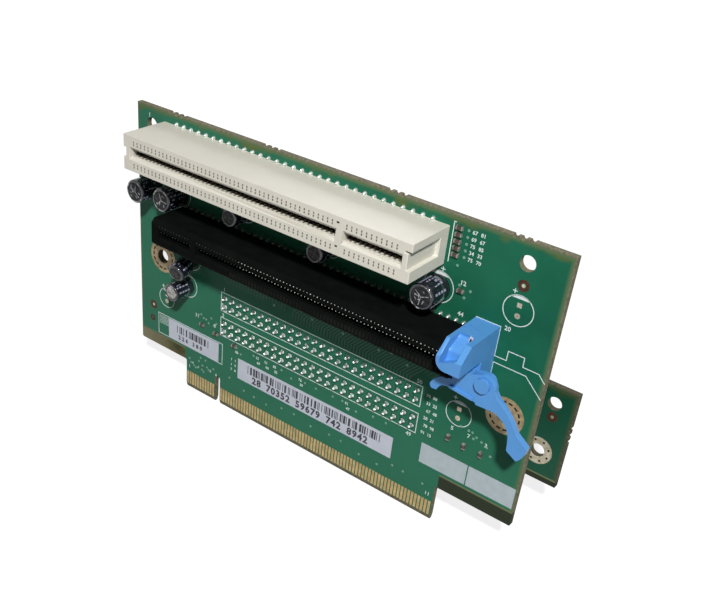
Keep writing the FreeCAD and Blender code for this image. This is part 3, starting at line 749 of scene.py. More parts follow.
def print_numbers(bm):
    """Plain numbers beside the chips, the headers and the contacts."""
    digits = random.Random(11)

    def two_digits(size, x, z):
        add_digits(bm, digits.randint(10, 99), size, x, z)

    def one_digit(x, z):
        add_digits(bm, digits.randint(1, 9), 1.1, x, z)

    for row in range(5):
        for x in (70.2, 72.2):
            two_digits(1.2, x, 76.9 - 1.55 * row)
    for body, x, z in PLAIN_NUMBERS:
        add_digits(bm, body, 1.5, x, z)
    for row in range(6):
        for x in (66.2, 68.0):
            two_digits(1.15, x + 0.3 * row % 0.7, 34.4 - 2.1 * row)
    for row in range(3):
        for x in (3.2, 4.6, 6.0):
            one_digit(x + 1.8, 13.6 + 1.6 * row)
    for x in (6.3, 14.1, 17.2, 20.2, 28.9, 44.0):
        two_digits(1.1, x, 21.2)
        two_digits(1.1, x + 0.5, 19.8)
    for x in (-9.6, -7.4, -2.8, -0.6):
        one_digit(x, 8.2 + (x % 1.3))


class RISER_OT_print(bpy.types.Operator):
    """Prints the white lines, circles, boxes and plain digits on the main board."""

    bl_idname = "riser.print"
    bl_label = "Board print"

    def execute(self, context):
        settings = context.scene.riser_board
        width, lift = settings.print_width, settings.print_lift
        bm = bmesh.new()

        def line(points, closed=False):
            add_strip(bm, points, width, -lift, lift / 2, closed)

        latch_lines(line)
        header_lines(line)
        label_lines(bm, line, lift)
        for x, z, radius, plus in CAP_PRINTS:
            cap_print(bm, line, x, z, radius, plus, lift)
        line([(65.1, 68.7), (65.1, 77.9), (65.6, 77.9)])
        print_numbers(bm)
        finish_mesh(bm, "board_print", print_material())

        bm = bmesh.new()
        for x0, x1 in ((66.6, 79.35), (79.65, 92.0)):
            add_prism(bm, corners(x0, 15.4, x1, 21.15), -lift, lift / 2)
        finish_mesh(bm, "print_boxes", box_material())
        return {"FINISHED"}


# ---------------------------------------------------------------- boards
def build_left_shoulder(mask, edge_x):
    """The deeper left shoulder of the main board, with a rounded corner and an inner fillet."""
    shoulder, drop, corner, inner = 10.6, 1.4, 0.5, 0.6
    foot = shoulder - drop
    bm = bmesh.new()
    outline = [(edge_x, shoulder), (BOARD_LOW.x, shoulder)]
    outline += circle(BOARD_LOW.x + corner, foot + corner, corner, 5, 180.0, 90.0)
    outline += circle(edge_x - inner, foot - inner, inner, 5, 90.0, -90.0)
    add_prism(bm, outline, BOARD_LOW.y, BOARD_HIGH.y)
    finish_mesh(bm, "left_shoulder", mask)


def build_ring_pads():
    """Vias in the plated screw rings, and the rings of the main board's back."""
    ring_low, ring_high = span("main_ring_pads")
    ring_z = (ring_low.z + ring_high.z) / 2
    radius = (ring_high.z - ring_low.z) / 2
    vias, back = bmesh.new(), bmesh.new()
    for x in (ring_low.x + radius, ring_high.x - radius):
        add_ring(back, x, ring_z, 1.75, radius, BOARD_HIGH.y - 0.01, BOARD_HIGH.y + 0.035, 48)
        for number in range(14):
            angle = 2 * math.pi * number / 14
            out = Vector((math.cos(angle), math.sin(angle)))
            side = Vector((-out.y, out.x)) * 0.5
            middle = Vector((x, ring_z)) + out * radius * 0.76
            add_strip(vias, [middle - side, middle + side], 0.42, -0.09, -0.03)
    low, high = span("link_ring_pad")
    x, z = (low.x + high.x) / 2, (low.z + high.z) / 2
    for px, pz in circle(x, z, (high.x - low.x) / 2 * 0.78, 8, start=22.5):
        add_prism(vias, circle(px, pz, 0.3, 12), LINK_LOW.y - 0.09, LINK_LOW.y - 0.03)
    finish_mesh(vias, "ring_vias", dark_material())
    finish_mesh(back, "back_ring_pads", ring_material())


def build_fiducials():
    """Small tinned dots in bare clearances, and one bare ring."""
    clearances, dots = bmesh.new(), bmesh.new()
    for x, z, y in FIDUCIALS:
        add_ring(clearances, x, z, 0.6, 1.35, y - 0.02, y + 0.01)
        add_prism(dots, circle(x, z, 0.42, 20), y - 0.04, y + 0.01)
    add_ring(clearances, -25.96, 17.35, 0.3, 1.0, -0.03, 0.01)
    finish_mesh(clearances, "fiducial_clearances", copper_material())
    finish_mesh(dots, "fiducials", tin_material())


class RISER_OT_boards(bpy.types.Operator):
    """Finishes both boards with mask, laminate edges, gold contacts and plated rings."""

    bl_idname = "riser.boards"
    bl_label = "Boards"

    def execute(self, context):
        for node, name, low, high, shade, strip in (
                ("main", "main_mask", BOARD_LOW, BOARD_HIGH, 1.0, (12.5, 14.15)),
                # The link board is darkened to 0.52 as painted shade.
                ("link", "link_mask", LINK_LOW, LINK_HIGH, 0.52, (12.05, 12.05))):
            fingers_low, fingers_high = span(node + "_edge_fingers_front")
            tongue = (fingers_low.x - 0.9, fingers_high.x + 0.9)
            mask = board_material(name, low, high, shade, strip, tongue)
            dress(node + "_board", mask)
            if node == "main":
                build_left_shoulder(mask, fingers_low.x - 0.3)
            for side in ("front", "back"):
                dress(node + "_edge_fingers_" + side, gold_material())
        dress("main_ring_pads", ring_material())
        dress("link_ring_pad", tin_material())
        build_ring_pads()
        build_fiducials()
        return {"FINISHED"}


# ---------------------------------------------------------------- traces
# Depths of copper under the mask, vias set singly, and rows of vias: count, first x, pitch,
# drift along, z, drift down and drift up.
COPPER = (-0.014, 0.01)
SIDE_COPPER = (-0.012, 0.01)
VIA_SPOTS = ((77.8, 30.4), (78.8, 30.4), (80.0, 29.6), (81.4, 29.0), (82.9, 28.3), (79.3, 28.9),
             (75.7, 30.6), (84.2, 26.4), (68.7, 77.0), (68.7, 75.45), (68.7, 73.9), (68.7, 72.4),
             (68.7, 70.85), (67.5, 68.6), (68.8, 64.4), (71.6, 63.9), (70.4, 61.9), (71.2, 55.3))
VIA_ROWS = ((16, -6.0, 5.0, 1.2, 9.0, -1.0, 1.6), (12, 9.0, 4.3, 0.8, 20.6, -0.9, 0.9),
            (13, -11.0, 0.62, 0.0, 9.4, -1.8, 2.6), (9, -8.6, 0.95, 0.0, 25.4, -1.0, 1.2),
            (10, 18.0, 4.6, 1.0, 40.4, -1.5, 1.5))
VIA = ((0.0, -0.02), (0.34, -0.02), (0.34, 0.03), (0.16, 0.04), (0.12, 0.01), (0.0, 0.01))


def add_trace_fans(bm, shift):
    """Fans of traces under the lower slot: straight down, on a slant and straight down again."""
    top = PCIE_LOW.z - 0.6
    for start, count, pitch, straight, drop, width, lean in (
            (28.0, 40, 0.98, 4.4, 6.0, 0.24, 0.95), (-2.0, 24, 1.0, 3.5, 3.0, 0.2, -0.4)):
        knee = top - straight
        for number in range(count):
            x = start + shift + pitch * number
            fall = drop * (0.55 + 0.45 * number / count)
            slanted = x - lean * fall
            add_strip(bm, [(x, top), (x, knee), (slanted, knee - fall), (slanted, knee - fall - 2.0)],
                      width, *COPPER)


def add_edge_traces(bm, seeds):
    """Traces that rise from the edge contacts."""
    low, high = span("main_edge_fingers_front")
    for number in range(34):
        x = low.x + 18.0 + 1.9 * number
        if x > high.x - 1.0:
            break
        top = 10.2 + seeds.uniform(-0.5, 0.9)
        add_strip(bm, [(x, high.z), (x, 7.2), (x - 0.7, 8.1), (x - 0.7, top)], 0.2, *COPPER)


def via_places(seeds):
    """Places of the vias: some listed one by one and rows with a little drift along and across."""
    places = list(VIA_SPOTS)
    for count, start, pitch, along, z, below, above in VIA_ROWS:
        for number in range(count):
            x = start + pitch * number
            if along:
                x += seeds.uniform(-along, along)
            places.append((x, z + seeds.uniform(below, above)))
    return places


class RISER_OT_traces(bpy.types.Operator):
    """Lays the copper traces under the mask, the vias and the bare capacitor pads."""

    bl_idname = "riser.traces"
    bl_label = "Traces and vias"

    def execute(self, context):
        seeds = random.Random(5)
        bm = bmesh.new()
        add_trace_fans(bm, 0.0)
        add_edge_traces(bm, seeds)
        for number in range(9):
            z = 45.5 - 0.75 * number
            add_strip(bm, [(-6.0 + number, z), (26.0 - number * 1.4, z)], 0.18, *SIDE_COPPER)
        for number in range(6):
            x, fall = 67.2 + 0.9 * number, number * 0.4
            add_strip(bm, [(x, 47.0), (x, 43.0 - fall), (x - 3.0, 40.0 - fall)], 0.2, *SIDE_COPPER)
        finish_mesh(bm, "trace_copper", trace_material())

        bm = bmesh.new()
        add_trace_fans(bm, 0.5)
        finish_mesh(bm, "trace_gaps", shade_trace_material())

        bm = bmesh.new()
        for x, z in via_places(seeds):
            add_turned(bm, x, z, VIA, 12)
        finish_mesh(bm, "vias", via_material())

        bm = bmesh.new()
        for x, z, gap in ((83.05, 63.9, 1.25), (74.45, 33.5, 1.25), (-20.1, 26.0, 1.0)):
            add_strip(bm, [(x - 0.55, z + gap), (x + 0.55, z + gap)], 1.1, -0.03, 0.01)
            add_ring(bm, x, z - gap, 0.14, 0.66, -0.03, 0.01, 20)
        finish_mesh(bm, "bare_pads", tin_material())
        return {"FINISHED"}


# ---------------------------------------------------------------- slots
# Pitch of the contacts, count left of the key, gap across the key and count right of it.
PCI_CONTACTS = (1.27, 49, 3.81, 11)
PCIE_CONTACTS = (1.0, 11, 3.0, 71)
# Solder joints come at every second contact.
PCI_JOINT_PITCH = 2 * PCI_CONTACTS[0]
PCIE_JOINT_PITCH = 2 * PCIE_CONTACTS[0]
# Half the room at the key that holds no joint, and how far a finish reaches out of and into a face.
KEY_ROOM = 1.2
OUT_OF_FACE, INTO_FACE = 0.015, 0.2


def slot_places(node, pitch, left_count, gap, right_count):
    """X of the contacts along a slot, worked out from the span of its contacts."""
    low, high = span(node)
    length = pitch * (left_count + right_count - 2) + gap
    first = (low.x + high.x - length) / 2
    left = [first + pitch * n for n in range(left_count)]
    return left + [left[-1] + gap + pitch * n for n in range(right_count)]


def ivory_material(center_z):
    """Ivory nylon whose card space turns dark with depth, as painted shade."""
    material = surface("ivory_nylon", two_shades("riser_part", "ivory_color", 1.0, 0.93), (160.0, 0.6),
                       NYLON_GRAIN, (0.42, 0.55), specular=0.4)
    tree = material.node_tree
    base = tree.nodes["Principled BSDF"].inputs["Base Color"]
    tone = base.links[0].from_socket
    place = axes(tree)
    # Painted shade: dark brown deep in the card space, across the middle of the slot.
    mask = carry(tree, place["Y"], (PCI_LOW.y + 1.0) * MM, (PCI_LOW.y + 3.2) * MM)
    for axis, low, high in (("Z", center_z - 2.2, center_z + 2.2), ("X", PCI_LOW.x + 1.0, PCI_HIGH.x - 1.0)):
        mask = maths(tree, "MULTIPLY", mask, step_mask(tree, place[axis], low * MM))
        mask = maths(tree, "MULTIPLY", mask, step_mask(tree, place[axis], high * MM, above=False))
    feed(tree, base, blend(tree, mask, tone, (0.045, 0.026, 0.018)))
    return material


def lead_in_material():
    return surface("ivory_lead_in", two_shades("riser_part", "ivory_color", 1.0, 0.9), (160.0, 0.6),
                   NYLON_GRAIN, (0.42, 0.55), specular=0.3)


def build_upper_windows(places, key_x, slot_z):
    """Contact windows on the upper slot's front, and the two marks at its key, both in painted shade."""
    y0, y1 = PCI_LOW.y - OUT_OF_FACE, PCI_LOW.y + INTO_FACE
    half_x, half_z, apart = 0.15, 0.24, 0.34
    bm = bmesh.new()
    for x in places:
        for z in (slot_z + 2.75, slot_z - 2.9):
            for drop in (apart, -apart):
                add_box(bm, (x - half_x, y0, z + drop - half_z), (x + half_x, y1, z + drop + half_z))
    finish_mesh(bm, "upper_slot_windows", recess_material())
    bm = bmesh.new()
    for z in (slot_z + 3.1, slot_z - 2.35):
        add_box(bm, (key_x - 0.75, y0, z - 0.2), (key_x - 0.1, y1, z + 0.2))
    finish_mesh(bm, "upper_slot_key_marks", dark_material())


def build_lead_in(places, key_x, shelf):
    """Sloped shelf inside the upper slot's mouth, with a dark tooth of painted shade at each contact."""
    bm, teeth = bmesh.new(), bmesh.new()
    mouth, knee, back = 13.7, 12.7, 10.6
    thick, wall, rib = 1.2, 2.4, 1.0
    profile = ((mouth, shelf - 0.4), (knee, shelf - 0.05), (back, shelf), (back, shelf - thick),
               (mouth, shelf - thick))
    for ends in ((PCI_LOW.x + wall, key_x - rib), (key_x + rib, PCI_HIGH.x - wall)):
        rows = [[bm.verts.new((x * MM, -n * MM, z * MM)) for n, z in profile] for x in ends]
        for k in range(5):
            bm.faces.new((rows[0][k], rows[0][(k + 1) % 5], rows[1][(k + 1) % 5], rows[1][k]))
        bm.faces.new(rows[0])
        bm.faces.new(list(reversed(rows[1])))
    for x in places:
        low = [teeth.verts.new((px * MM, -n * MM, (shelf - 0.06) * MM))
               for px, n in ((x - 0.34, 10.4), (x + 0.34, 10.4), (x + 0.2, 12.4), (x - 0.2, 12.4))]
        high = [teeth.verts.new(v.co + Vector((0.0, 0.0, 0.09 * MM))) for v in low]
        for k in range(4):
            teeth.faces.new((low[k], low[(k + 1) % 4], high[(k + 1) % 4], high[k]))
        teeth.faces.new(list(reversed(low)))
        teeth.faces.new(high)
    finish_mesh(bm, "upper_slot_lead_in", lead_in_material())
    finish_mesh(teeth, "upper_slot_teeth", recess_material())


def build_lower_front(places, slot_z):
    """Contact tips and ribs that show on the lower slot's front; the tips are painted glints at the right
    and painted shade at the left.
    """
    face = PCIE_LOW.y
    bright, dim, ribs = bmesh.new(), bmesh.new(), bmesh.new()
    for number, x in enumerate(places):
        # Painted glints from the 25th contact on, painted shade before it.
        tips = bright if number > 24 else dim
        size = 0.10 + 0.05 * ((number * 7) % 5) / 4
        add_turned(tips, x, slot_z + 2.35, [(0.0, -0.02), (size, -0.02), (size * 0.7, 0.08), (0.0, 0.1)], 8,
                   y_face=face)
        z = slot_z + 0.5 + 0.12 * (number % 2)
        add_box(tips, (x - 0.09, face + 0.55, z), (x + 0.09, face + 0.75, z + 0.18))
        if number >= 22:
            add_box(ribs, (x + 0.2, face - 0.02, slot_z - 2.6), (x + 0.78, face + 0.2, slot_z - 1.4))
    finish_mesh(bright, "lower_slot_tips", tip_material())
    finish_mesh(dim, "lower_slot_dim_tips", dull_solder_material())
    finish_mesh(ribs, "lower_slot_ribs", rib_material())


def build_slot_joints(pci_x, pcie_x, key_x, pci_z, pcie_z):
    """Solder joints of both slots, on the front above each slot and in rows on the back."""
    bright, shaded = bmesh.new(), bmesh.new()
    right_count = 35
    for number in range(32):
        x = key_x + 14.0 - PCI_JOINT_PITCH * number
        if x > PCI_LOW.x + 2.0 and abs(x - key_x) > KEY_ROOM:
            add_turned(bright, x, PCI_HIGH.z + 0.23, JOINT, 12)
    for number in range(44):
        if number < right_count:
            x = pcie_x[-1] - 0.5 - PCIE_JOINT_PITCH * number
        else:
            x = pcie_x[-1] - 72.5 - PCIE_JOINT_PITCH * (number - right_count)
        # Joints under the upper slot get painted shade.
        add_turned(bright if x > PCI_HIGH.x + 1.0 else shaded, x, PCIE_HIGH.z + 0.52, JOINT, 12)
    finish_mesh(shaded, "lower_slot_joints", dull_solder_material(), smooth=50.0)
    for row, shift in ((4.68, 0.0), (2.14, 1.27), (-2.14, 0.0), (-4.68, 1.27)):
        for number in range(31):
            x = pci_x[-1] - shift - PCI_JOINT_PITCH * number
            if abs(x - key_x) > KEY_ROOM:
                add_turned(bright, x, pci_z + row, JOINT, 12, outward=1.0, y_face=BOARD_HIGH.y)
    for row, shift in ((3.0, 0.0), (1.5, 1.0), (-1.5, 0.0), (-3.0, 1.0)):
        for number in range(36):
            x = pcie_x[-1] - shift - PCIE_JOINT_PITCH * number
            add_turned(bright, x, pcie_z + row, LOW_JOINT, 10, outward=1.0, y_face=BOARD_HIGH.y)
    finish_mesh(bright, "slot_solder_joints", solder_material(), smooth=50.0)


class RISER_OT_slots(bpy.types.Operator):
    """Finishes both slot housings, their contacts, contact windows and solder joints."""

    bl_idname = "riser.slots"
    bl_label = "Slots"

    def execute(self, context):
        pci_z = (PCI_LOW.z + PCI_HIGH.z) / 2
        pcie_z = (PCIE_LOW.z + PCIE_HIGH.z) / 2
        dress("pci_slot_housing", ivory_material(pci_z))
        dress("pcie_slot_housing", black_material())
        soften("pci_slot_housing", 0.18, angle=60.0)
        for slot in ("pci", "pcie"):
            for row in ("upper", "lower"):
                dress(slot + "_slot_contacts_" + row, bronze_material())
        pci_x = slot_places("pci_slot_contacts_upper", *PCI_CONTACTS)
        pcie_x = slot_places("pcie_slot_contacts_upper", *PCIE_CONTACTS)
        left_count = PCI_CONTACTS[1]
        key_x = (pci_x[left_count - 1] + pci_x[left_count]) / 2
        build_upper_windows(pci_x, key_x, pci_z)
        build_lead_in(pci_x, key_x, pci_z - 0.95)
        build_lower_front(pcie_x, pcie_z)
        build_slot_joints(pci_x, pcie_x, key_x, pci_z, pcie_z)
        return {"FINISHED"}


# ---------------------------------------------------------------- latch
# The scoop's left and right from the hood's left end, its bottom and top down from the hood's
# top; steps of its grid; the slit's place on it, from 0 to 1.
SCOOP = (0.55, 4.95, 5.8, 0.1)
SCOOP_STEPS = 16
SLIT_ACROSS, SLIT_UP = 0.72, 0.84


def scoop_depth(across, up):
    """Height above the board of the hood's smooth inner floor; both arguments run from 0 to 1."""
    step = min(1.0, max(0.0, (up - 0.5) / 0.4))
    height = 12.0 - 0.8 * up - 3.4 * step * step * (3.0 - 2.0 * step)
    height += 0.3 * math.exp((up - 1.0) / 0.05)
    for edge in (across, 1.0 - across, up):
        height += 0.55 * math.exp(-edge / 0.08)
    return min(height, 13.4 - 4.0 * max(0.0, up - 0.4))


def scoop_sheet(bm, x0, x1, z0, z1, lift):
    """Grid of points on the scoop's floor, or lifted behind it to close the lining."""
    count = SCOOP_STEPS
    rows = []
    for j in range(count + 1):
        row = []
        for i in range(count + 1):
            across, up = i / count, j / count
            depth = scoop_depth(across, up)
            y = -depth if lift == 0.0 else -(4.2 if up > 0.55 else depth - lift)
            row.append(bm.verts.new(((x0 + (x1 - x0) * across) * MM, y * MM,
                                     (z0 + (z1 - z0) * up) * MM)))
        rows.append(row)
    return rows


def build_scoop(x0, x1, z0, z1):
    """Closed lining of the hood's scoop: a floor, a back and the four rims between them."""
    count = SCOOP_STEPS
    bm = bmesh.new()
    front, back = (scoop_sheet(bm, x0, x1, z0, z1, lift) for lift in (0.0, 0.3))
    for j in range(count):
        for i in range(count):
            bm.faces.new((front[j][i], front[j][i + 1], front[j + 1][i + 1], front[j + 1][i]))
            bm.faces.new((back[j][i], back[j + 1][i], back[j + 1][i + 1], back[j][i + 1]))
    for k in range(count):
        for a, b in (((0, k), (0, k + 1)), ((count, k + 1), (count, k)),
                     ((k + 1, 0), (k, 0)), ((k, count), (k + 1, count))):
            bm.faces.new((front[a[0]][a[1]], back[a[0]][a[1]], back[b[0]][b[1]], front[b[0]][b[1]]))
    finish_mesh(bm, "hood_scoop", latch_material(), smooth=60.0)


class RISER_OT_latch(bpy.types.Operator):
    """Finishes the card latch, rounds its moulded edges and lines the scoop of its hood."""

    bl_idname = "riser.latch"
    bl_label = "Latch"

    def execute(self, context):
        for node, width in (("latch_housing", 0.45), ("latch_lever", 0.35),
                            ("latch_pivot_pin", 0.25)):
            dress(node, latch_material())
            soften(node, width, segments=3)
        x0, x1 = LATCH_LOW.x + SCOOP[0], LATCH_LOW.x + SCOOP[1]
        z0, z1 = LATCH_HIGH.z - SCOOP[2], LATCH_HIGH.z - SCOOP[3]
        build_scoop(x0, x1, z0, z1)
        x, z = x0 + (x1 - x0) * SLIT_ACROSS, z0 + (z1 - z0) * SLIT_UP
        y = scoop_depth(SLIT_ACROSS, SLIT_UP)
        # The slit is near black painted shade; the pale piece round it is a painted glint.
        for name, material, high, wide, lift in (("hood_slit", dark_material(), 1.1, 0.34, 0.12),
                                                 ("hood_slit_edge", paper_material(), 1.7, 0.8, 0.06)):
            bm = bmesh.new()
            add_strip(bm, [(x - 0.15, z - high / 2), (x + 0.15, z + high / 2)], wide,
                      -y - lift - 0.2, -y + 0.6)
            finish_mesh(bm, name, material)
        return {"FINISHED"}


# ---------------------------------------------------------------- capacitors
# Radius and height of each size.
CAP_SIZES = {"large": (3.15, 7.0), "small": (2.5, 6.6)}
CAP_SIDES = 40


def stand_on_board(piece, x, z, lean, radius):
    """Moves a part made at the origin along -Y to its place, leaning over its bung if asked."""
    turn = Matrix.Identity(4)
    shift = Vector((x, 0.0, z)) * MM
    if lean:
        turn = (Matrix.Rotation(math.radians(lean * 0.5), 4, "Z")
                @ Matrix.Rotation(math.radians(lean), 4, "X"))
        shift.y = -radius * math.sin(math.radians(lean)) * 1.25 * MM
    piece.matrix_world = Matrix.Translation(shift) @ turn


def cap_sleeve(name, r, height):
    """Shrink sleeve, beaded near the bung and rolled over the can's rim."""
    bm = bmesh.new()
    add_turned(bm, 0.0, 0.0, [(0.0, 0.02), (r - 0.25, 0.02), (r - 0.06, 0.12), (r - 0.02, 0.35),
                              (r - 0.02, 1.0), (r - 0.14, 1.2), (r - 0.14, 1.35), (r - 0.02, 1.55),
                              (r - 0.02, height - 0.5), (r - 0.1, height - 0.2),
                              (r - 0.3, height - 0.03), (r - 0.55, height), (r - 0.72, height - 0.05),
                              (r - 0.74, height - 0.3), (0.0, height - 0.3)], CAP_SIDES)
    return finish_mesh(bm, name + "_sleeve", sleeve_material(), smooth=40.0)


def cap_lid(name, r, height, material):
    """Metal lid inside the rolled rim."""
    bm = bmesh.new()
    add_turned(bm, 0.0, 0.0, [(0.0, height - 0.35), (r - 0.76, height - 0.35),
                              (r - 0.78, height - 0.12), (r - 0.95, height - 0.06),
                              (0.0, height - 0.07)], CAP_SIDES)
    return finish_mesh(bm, name + "_lid", material, smooth=40.0)


def cap_score(name, r, height, twist, large, material, seeds):
    """Score lines on the lid, short painted glints on a large one and bright arcs of painted highlight on
    the rolled rim.
    """
    bm = bmesh.new()
    top = -height + 0.12
    arms = 3 if large else 4
    for arm in range(arms):
        angle = math.radians(twist + arm * 360.0 / arms)
        reach = r - 1.15
        add_strip(bm, [(0.0, 0.0), (math.cos(angle) * reach, math.sin(angle) * reach)], 0.16,
                  -height + 0.03, top)
    for _ in range(6 if large else 0):
        start = Vector((seeds.uniform(-1.5, 1.5), seeds.uniform(-1.5, 1.5)))
        angle = seeds.uniform(0.0, math.pi)
        glint = Vector((math.cos(angle), math.sin(angle))) * seeds.uniform(0.25, 0.55)
        add_strip(bm, [start - glint, start + glint], seeds.uniform(0.12, 0.28), -height + 0.02, top)
    # Bright arcs on the rolled rim: painted highlights.
    for _ in range(5):
        start, sweep = seeds.uniform(0, 360), seeds.uniform(14, 46)
        arc = [Vector((math.cos(a), math.sin(a))) * (r - 0.45)
               for a in (math.radians(start + sweep * k / 5) for k in range(6))]
        add_strip(bm, arc, 0.26, -height - 0.02, top)
    return finish_mesh(bm, name + "_score", material)


def cap_marks(name, r, height, twist, seeds):
    """Generic marks on the sleeve: a stripe of four bars and columns of short dashes."""
    bm = bmesh.new()
    side, thick = r - 0.03, 0.045
    for step in range(4):
        y0 = -1.9 - step * (height - 2.6) / 4
        add_wrap(bm, side, twist - 5, twist + 5, y0 - 0.7, y0, thick)
    for start in range(30, 330, 18):
        y = -2.0
        while y > -height + 1.0:
            long = seeds.uniform(0.35, 0.9)
            if seeds.random() < 0.62:
                end = twist + start + seeds.choice((4, 7, 10))
                add_wrap(bm, side, twist + start, end, y - long, y, thick, 3)
            y -= long + 0.35
    return finish_mesh(bm, name + "_marks", mark_material())


def build_capacitor(name, size, x, z, lean, twist, seeds):
    """One capacitor: rolled sleeve, scored lid and generic marks on the sleeve."""
    r, height = CAP_SIZES[size]
    large = size == "large"
    # Painted reflection: the lower small capacitor's lid is bright and the others dark; the upper small ones
    # get score lines in painted shade.
    pale = not large and z < 40.0
    line = score_material() if large or pale else dull_solder_material()
    for piece in (cap_sleeve(name, r, height),
                  cap_lid(name, r, height, bright_can_material() if pale else can_material()),
                  cap_score(name, r, height, twist, large, line, seeds),
                  cap_marks(name, r, height, twist, seeds)):
        stand_on_board(piece, x, z, lean, r)
        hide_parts(size + "_capacitors")


class RISER_OT_capacitors(bpy.types.Operator):
    """Builds the standing capacitors and finishes the chip capacitors."""

    bl_idname = "riser.capacitors"
    bl_label = "Capacitors"

    def execute(self, context):
        seeds = random.Random(3)
        for number, (size, x, z, lean, twist) in enumerate(CAPACITORS):
            build_capacitor("capacitor_" + str(number + 1), size, x, z, lean, twist, seeds)
        dress("chip_capacitor_bodies", ceramic_material())
        dress("chip_capacitor_ends", chip_end_material())
        return {"FINISHED"}


# ---------------------------------------------------------------- headers and labels
HEADER_COLUMNS = 25
# Left, right, lower and upper margin of the bars on each label.
LARGE_MARGINS = (3.6, 3.4, 3.1, 0.8)
SMALL_MARGINS = (3.3, 3.6, 3.0, 1.0)
LARGE_PITCH, SMALL_PITCH = 1.7, 1.45
LARGE_SPACES = (2, 8, 14, 18)


def joint_row(bm, node, profile, y_face, outward):
    """One row of domed solder joints in the place of each row of a CAD node."""
    low, high = span(node)
    half = 0.75
    for column in range(HEADER_COLUMNS):
        x = low.x + half + (high.x - low.x - 2 * half) * column / (HEADER_COLUMNS - 1)
        for z in (low.z + half, high.z - half):
            add_turned(bm, x, z, profile, 16, outward=outward, y_face=y_face)


class RISER_OT_headers(bpy.types.Operator):
    """Finishes the headers between the boards and domes their solder joints."""

    bl_idname = "riser.headers"
    bl_label = "Headers"

    def execute(self, context):
        for name in ("upper", "lower"):
            dress("header_" + name + "_insulator", black_material())
            dress("header_" + name + "_socket", black_material())
            dress("header_" + name + "_pins", gold_material())
            for node, outward in (("header_" + name + "_solder", -1.0),
                                  ("socket_" + name + "_solder", 1.0)):
                low, high = span(node)
                y_face = high.y if outward < 0 else low.y
                bm = bmesh.new()
                joint_row(bm, node, PIN_JOINT, y_face, outward)
                joints = finish_mesh(bm, node + "_domes", solder_material(), smooth=50.0)
                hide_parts(node)
                bm = bmesh.new()
                joint_row(bm, node, PIN_LAND, y_face, outward)
                finish_mesh(bm, node + "_lands", shade_trace_material())
        return {"FINISHED"}


def add_bars(bm, seeds, low, high, margins, fine):
    """Plain upright bars of uneven width on a label, inside its left, right, lower and upper margins."""
    x, x1 = low.x + margins[0], high.x - margins[1]
    z0, z1 = low.z + margins[2], high.z - margins[3]
    while x < x1:
        width = seeds.choice((1, 1, 2, 3)) * fine
        if x + width < x1:
            add_prism(bm, corners(x, z0, x + width, z1), low.y - 0.015, low.y + 0.02)
        x += width + seeds.choice((1, 1, 2, 3)) * fine


class RISER_OT_labels(bpy.types.Operator):
    """Finishes the paper labels with plain bars and digits."""

    bl_idname = "riser.labels"
    bl_label = "Labels"

    def execute(self, context):
        seeds = random.Random(21)
        for node in ("small_label", "large_label"):
            dress(node, paper_material())
        bm = bmesh.new()
        low, high = span("large_label")
        add_bars(bm, seeds, low, high, LARGE_MARGINS, 0.22)
        for number in range(23):
            if number not in LARGE_SPACES:
                x = low.x + 6.0 + LARGE_PITCH * number
                add_digits(bm, seeds.randint(0, 9), 2.9, x, low.z + 1.55, low.y, 0.1)
        low, high = span("small_label")
        add_bars(bm, seeds, low, high, SMALL_MARGINS, 0.25)
        for number in range(6):
            x = low.x + 4.3 + SMALL_PITCH * number + (1.2 if number > 2 else 0.0)
            add_digits(bm, seeds.randint(0, 9), 1.7, x, low.z + 1.6, low.y, 0.07)
        finish_mesh(bm, "label_bars", ink_material())
        return {"FINISHED"}


# ---------------------------------------------------------------- stage
# Place from the middle of the main board and size of each light, in metres.
KEY_PLACE, KEY_SIZE = Vector((0.44, -0.58, 0.69)) * 0.7, 0.045
BACK_PLACE, BACK_SIZE = Vector((-0.30, 0.62, 0.24)), 0.30
# How far from the middle the floor starts to turn white, in metres, and how white it is there.
WHITE_FROM, WHITE_SHARE = 0.15, 0.8
# Half the width of the floor, in millimetres.
FLOOR_REACH = 3000.0


def seen_rays(tree):
    """One for what the camera sees, straight, in a mirror or through glass."""
    path = new_node(tree, "LightPath").outputs
    seen = maths(tree, "MAXIMUM", path["Is Camera Ray"], path["Is Glossy Ray"])
    return maths(tree, "MAXIMUM", seen, path["Is Transmission Ray"])


def backdrop_share(tree, near, share):
    """How much plain white the camera and mirrors see: a share near the object, all of it far off."""
    reach = new_node(tree, "VectorMath", operation="LENGTH")
    feed(tree, reach.inputs[0], new_node(tree, "TexCoord").outputs["Object"])
    fade = carry(tree, reach.outputs["Value"], near, near * 2.4, share)
    return maths(tree, "MULTIPLY", seen_rays(tree), fade)


def floor_material():
    """Pale floor that keeps a soft shadow and fades to plain white away from the object."""
    material, shader = new_material("pale_floor")
    tree = material.node_tree
    for key, value in (("Base Color", (0.3, 0.3, 0.3)), ("Roughness", 0.9), ("Specular IOR Level", 0.05)):
        feed(tree, shader.inputs[key], value)
    white = new_node(tree, "Emission")
    feed(tree, white.inputs["Strength"], backdrop_share(tree, WHITE_FROM, WHITE_SHARE))
    joined = new_node(tree, "AddShader")
    feed(tree, joined.inputs[0], shader.outputs["BSDF"])
    feed(tree, joined.inputs[1], white.outputs["Emission"])
    feed(tree, tree.nodes["Material Output"].inputs["Surface"], joined.outputs["Shader"])
    return material


def add_floor():
    """Wide pale floor just under the card."""
    bm = bmesh.new()
    add_box(bm, (-FLOOR_REACH, -FLOOR_REACH, -20.0), (FLOOR_REACH, FLOOR_REACH, -0.05))
    mesh = bpy.data.meshes.new("floor")
    bm.to_mesh(mesh)
    bm.free()
    floor = bpy.data.objects.new("floor", mesh)
    bpy.context.scene.collection.objects.link(floor)
    mesh.materials.append(floor_material())


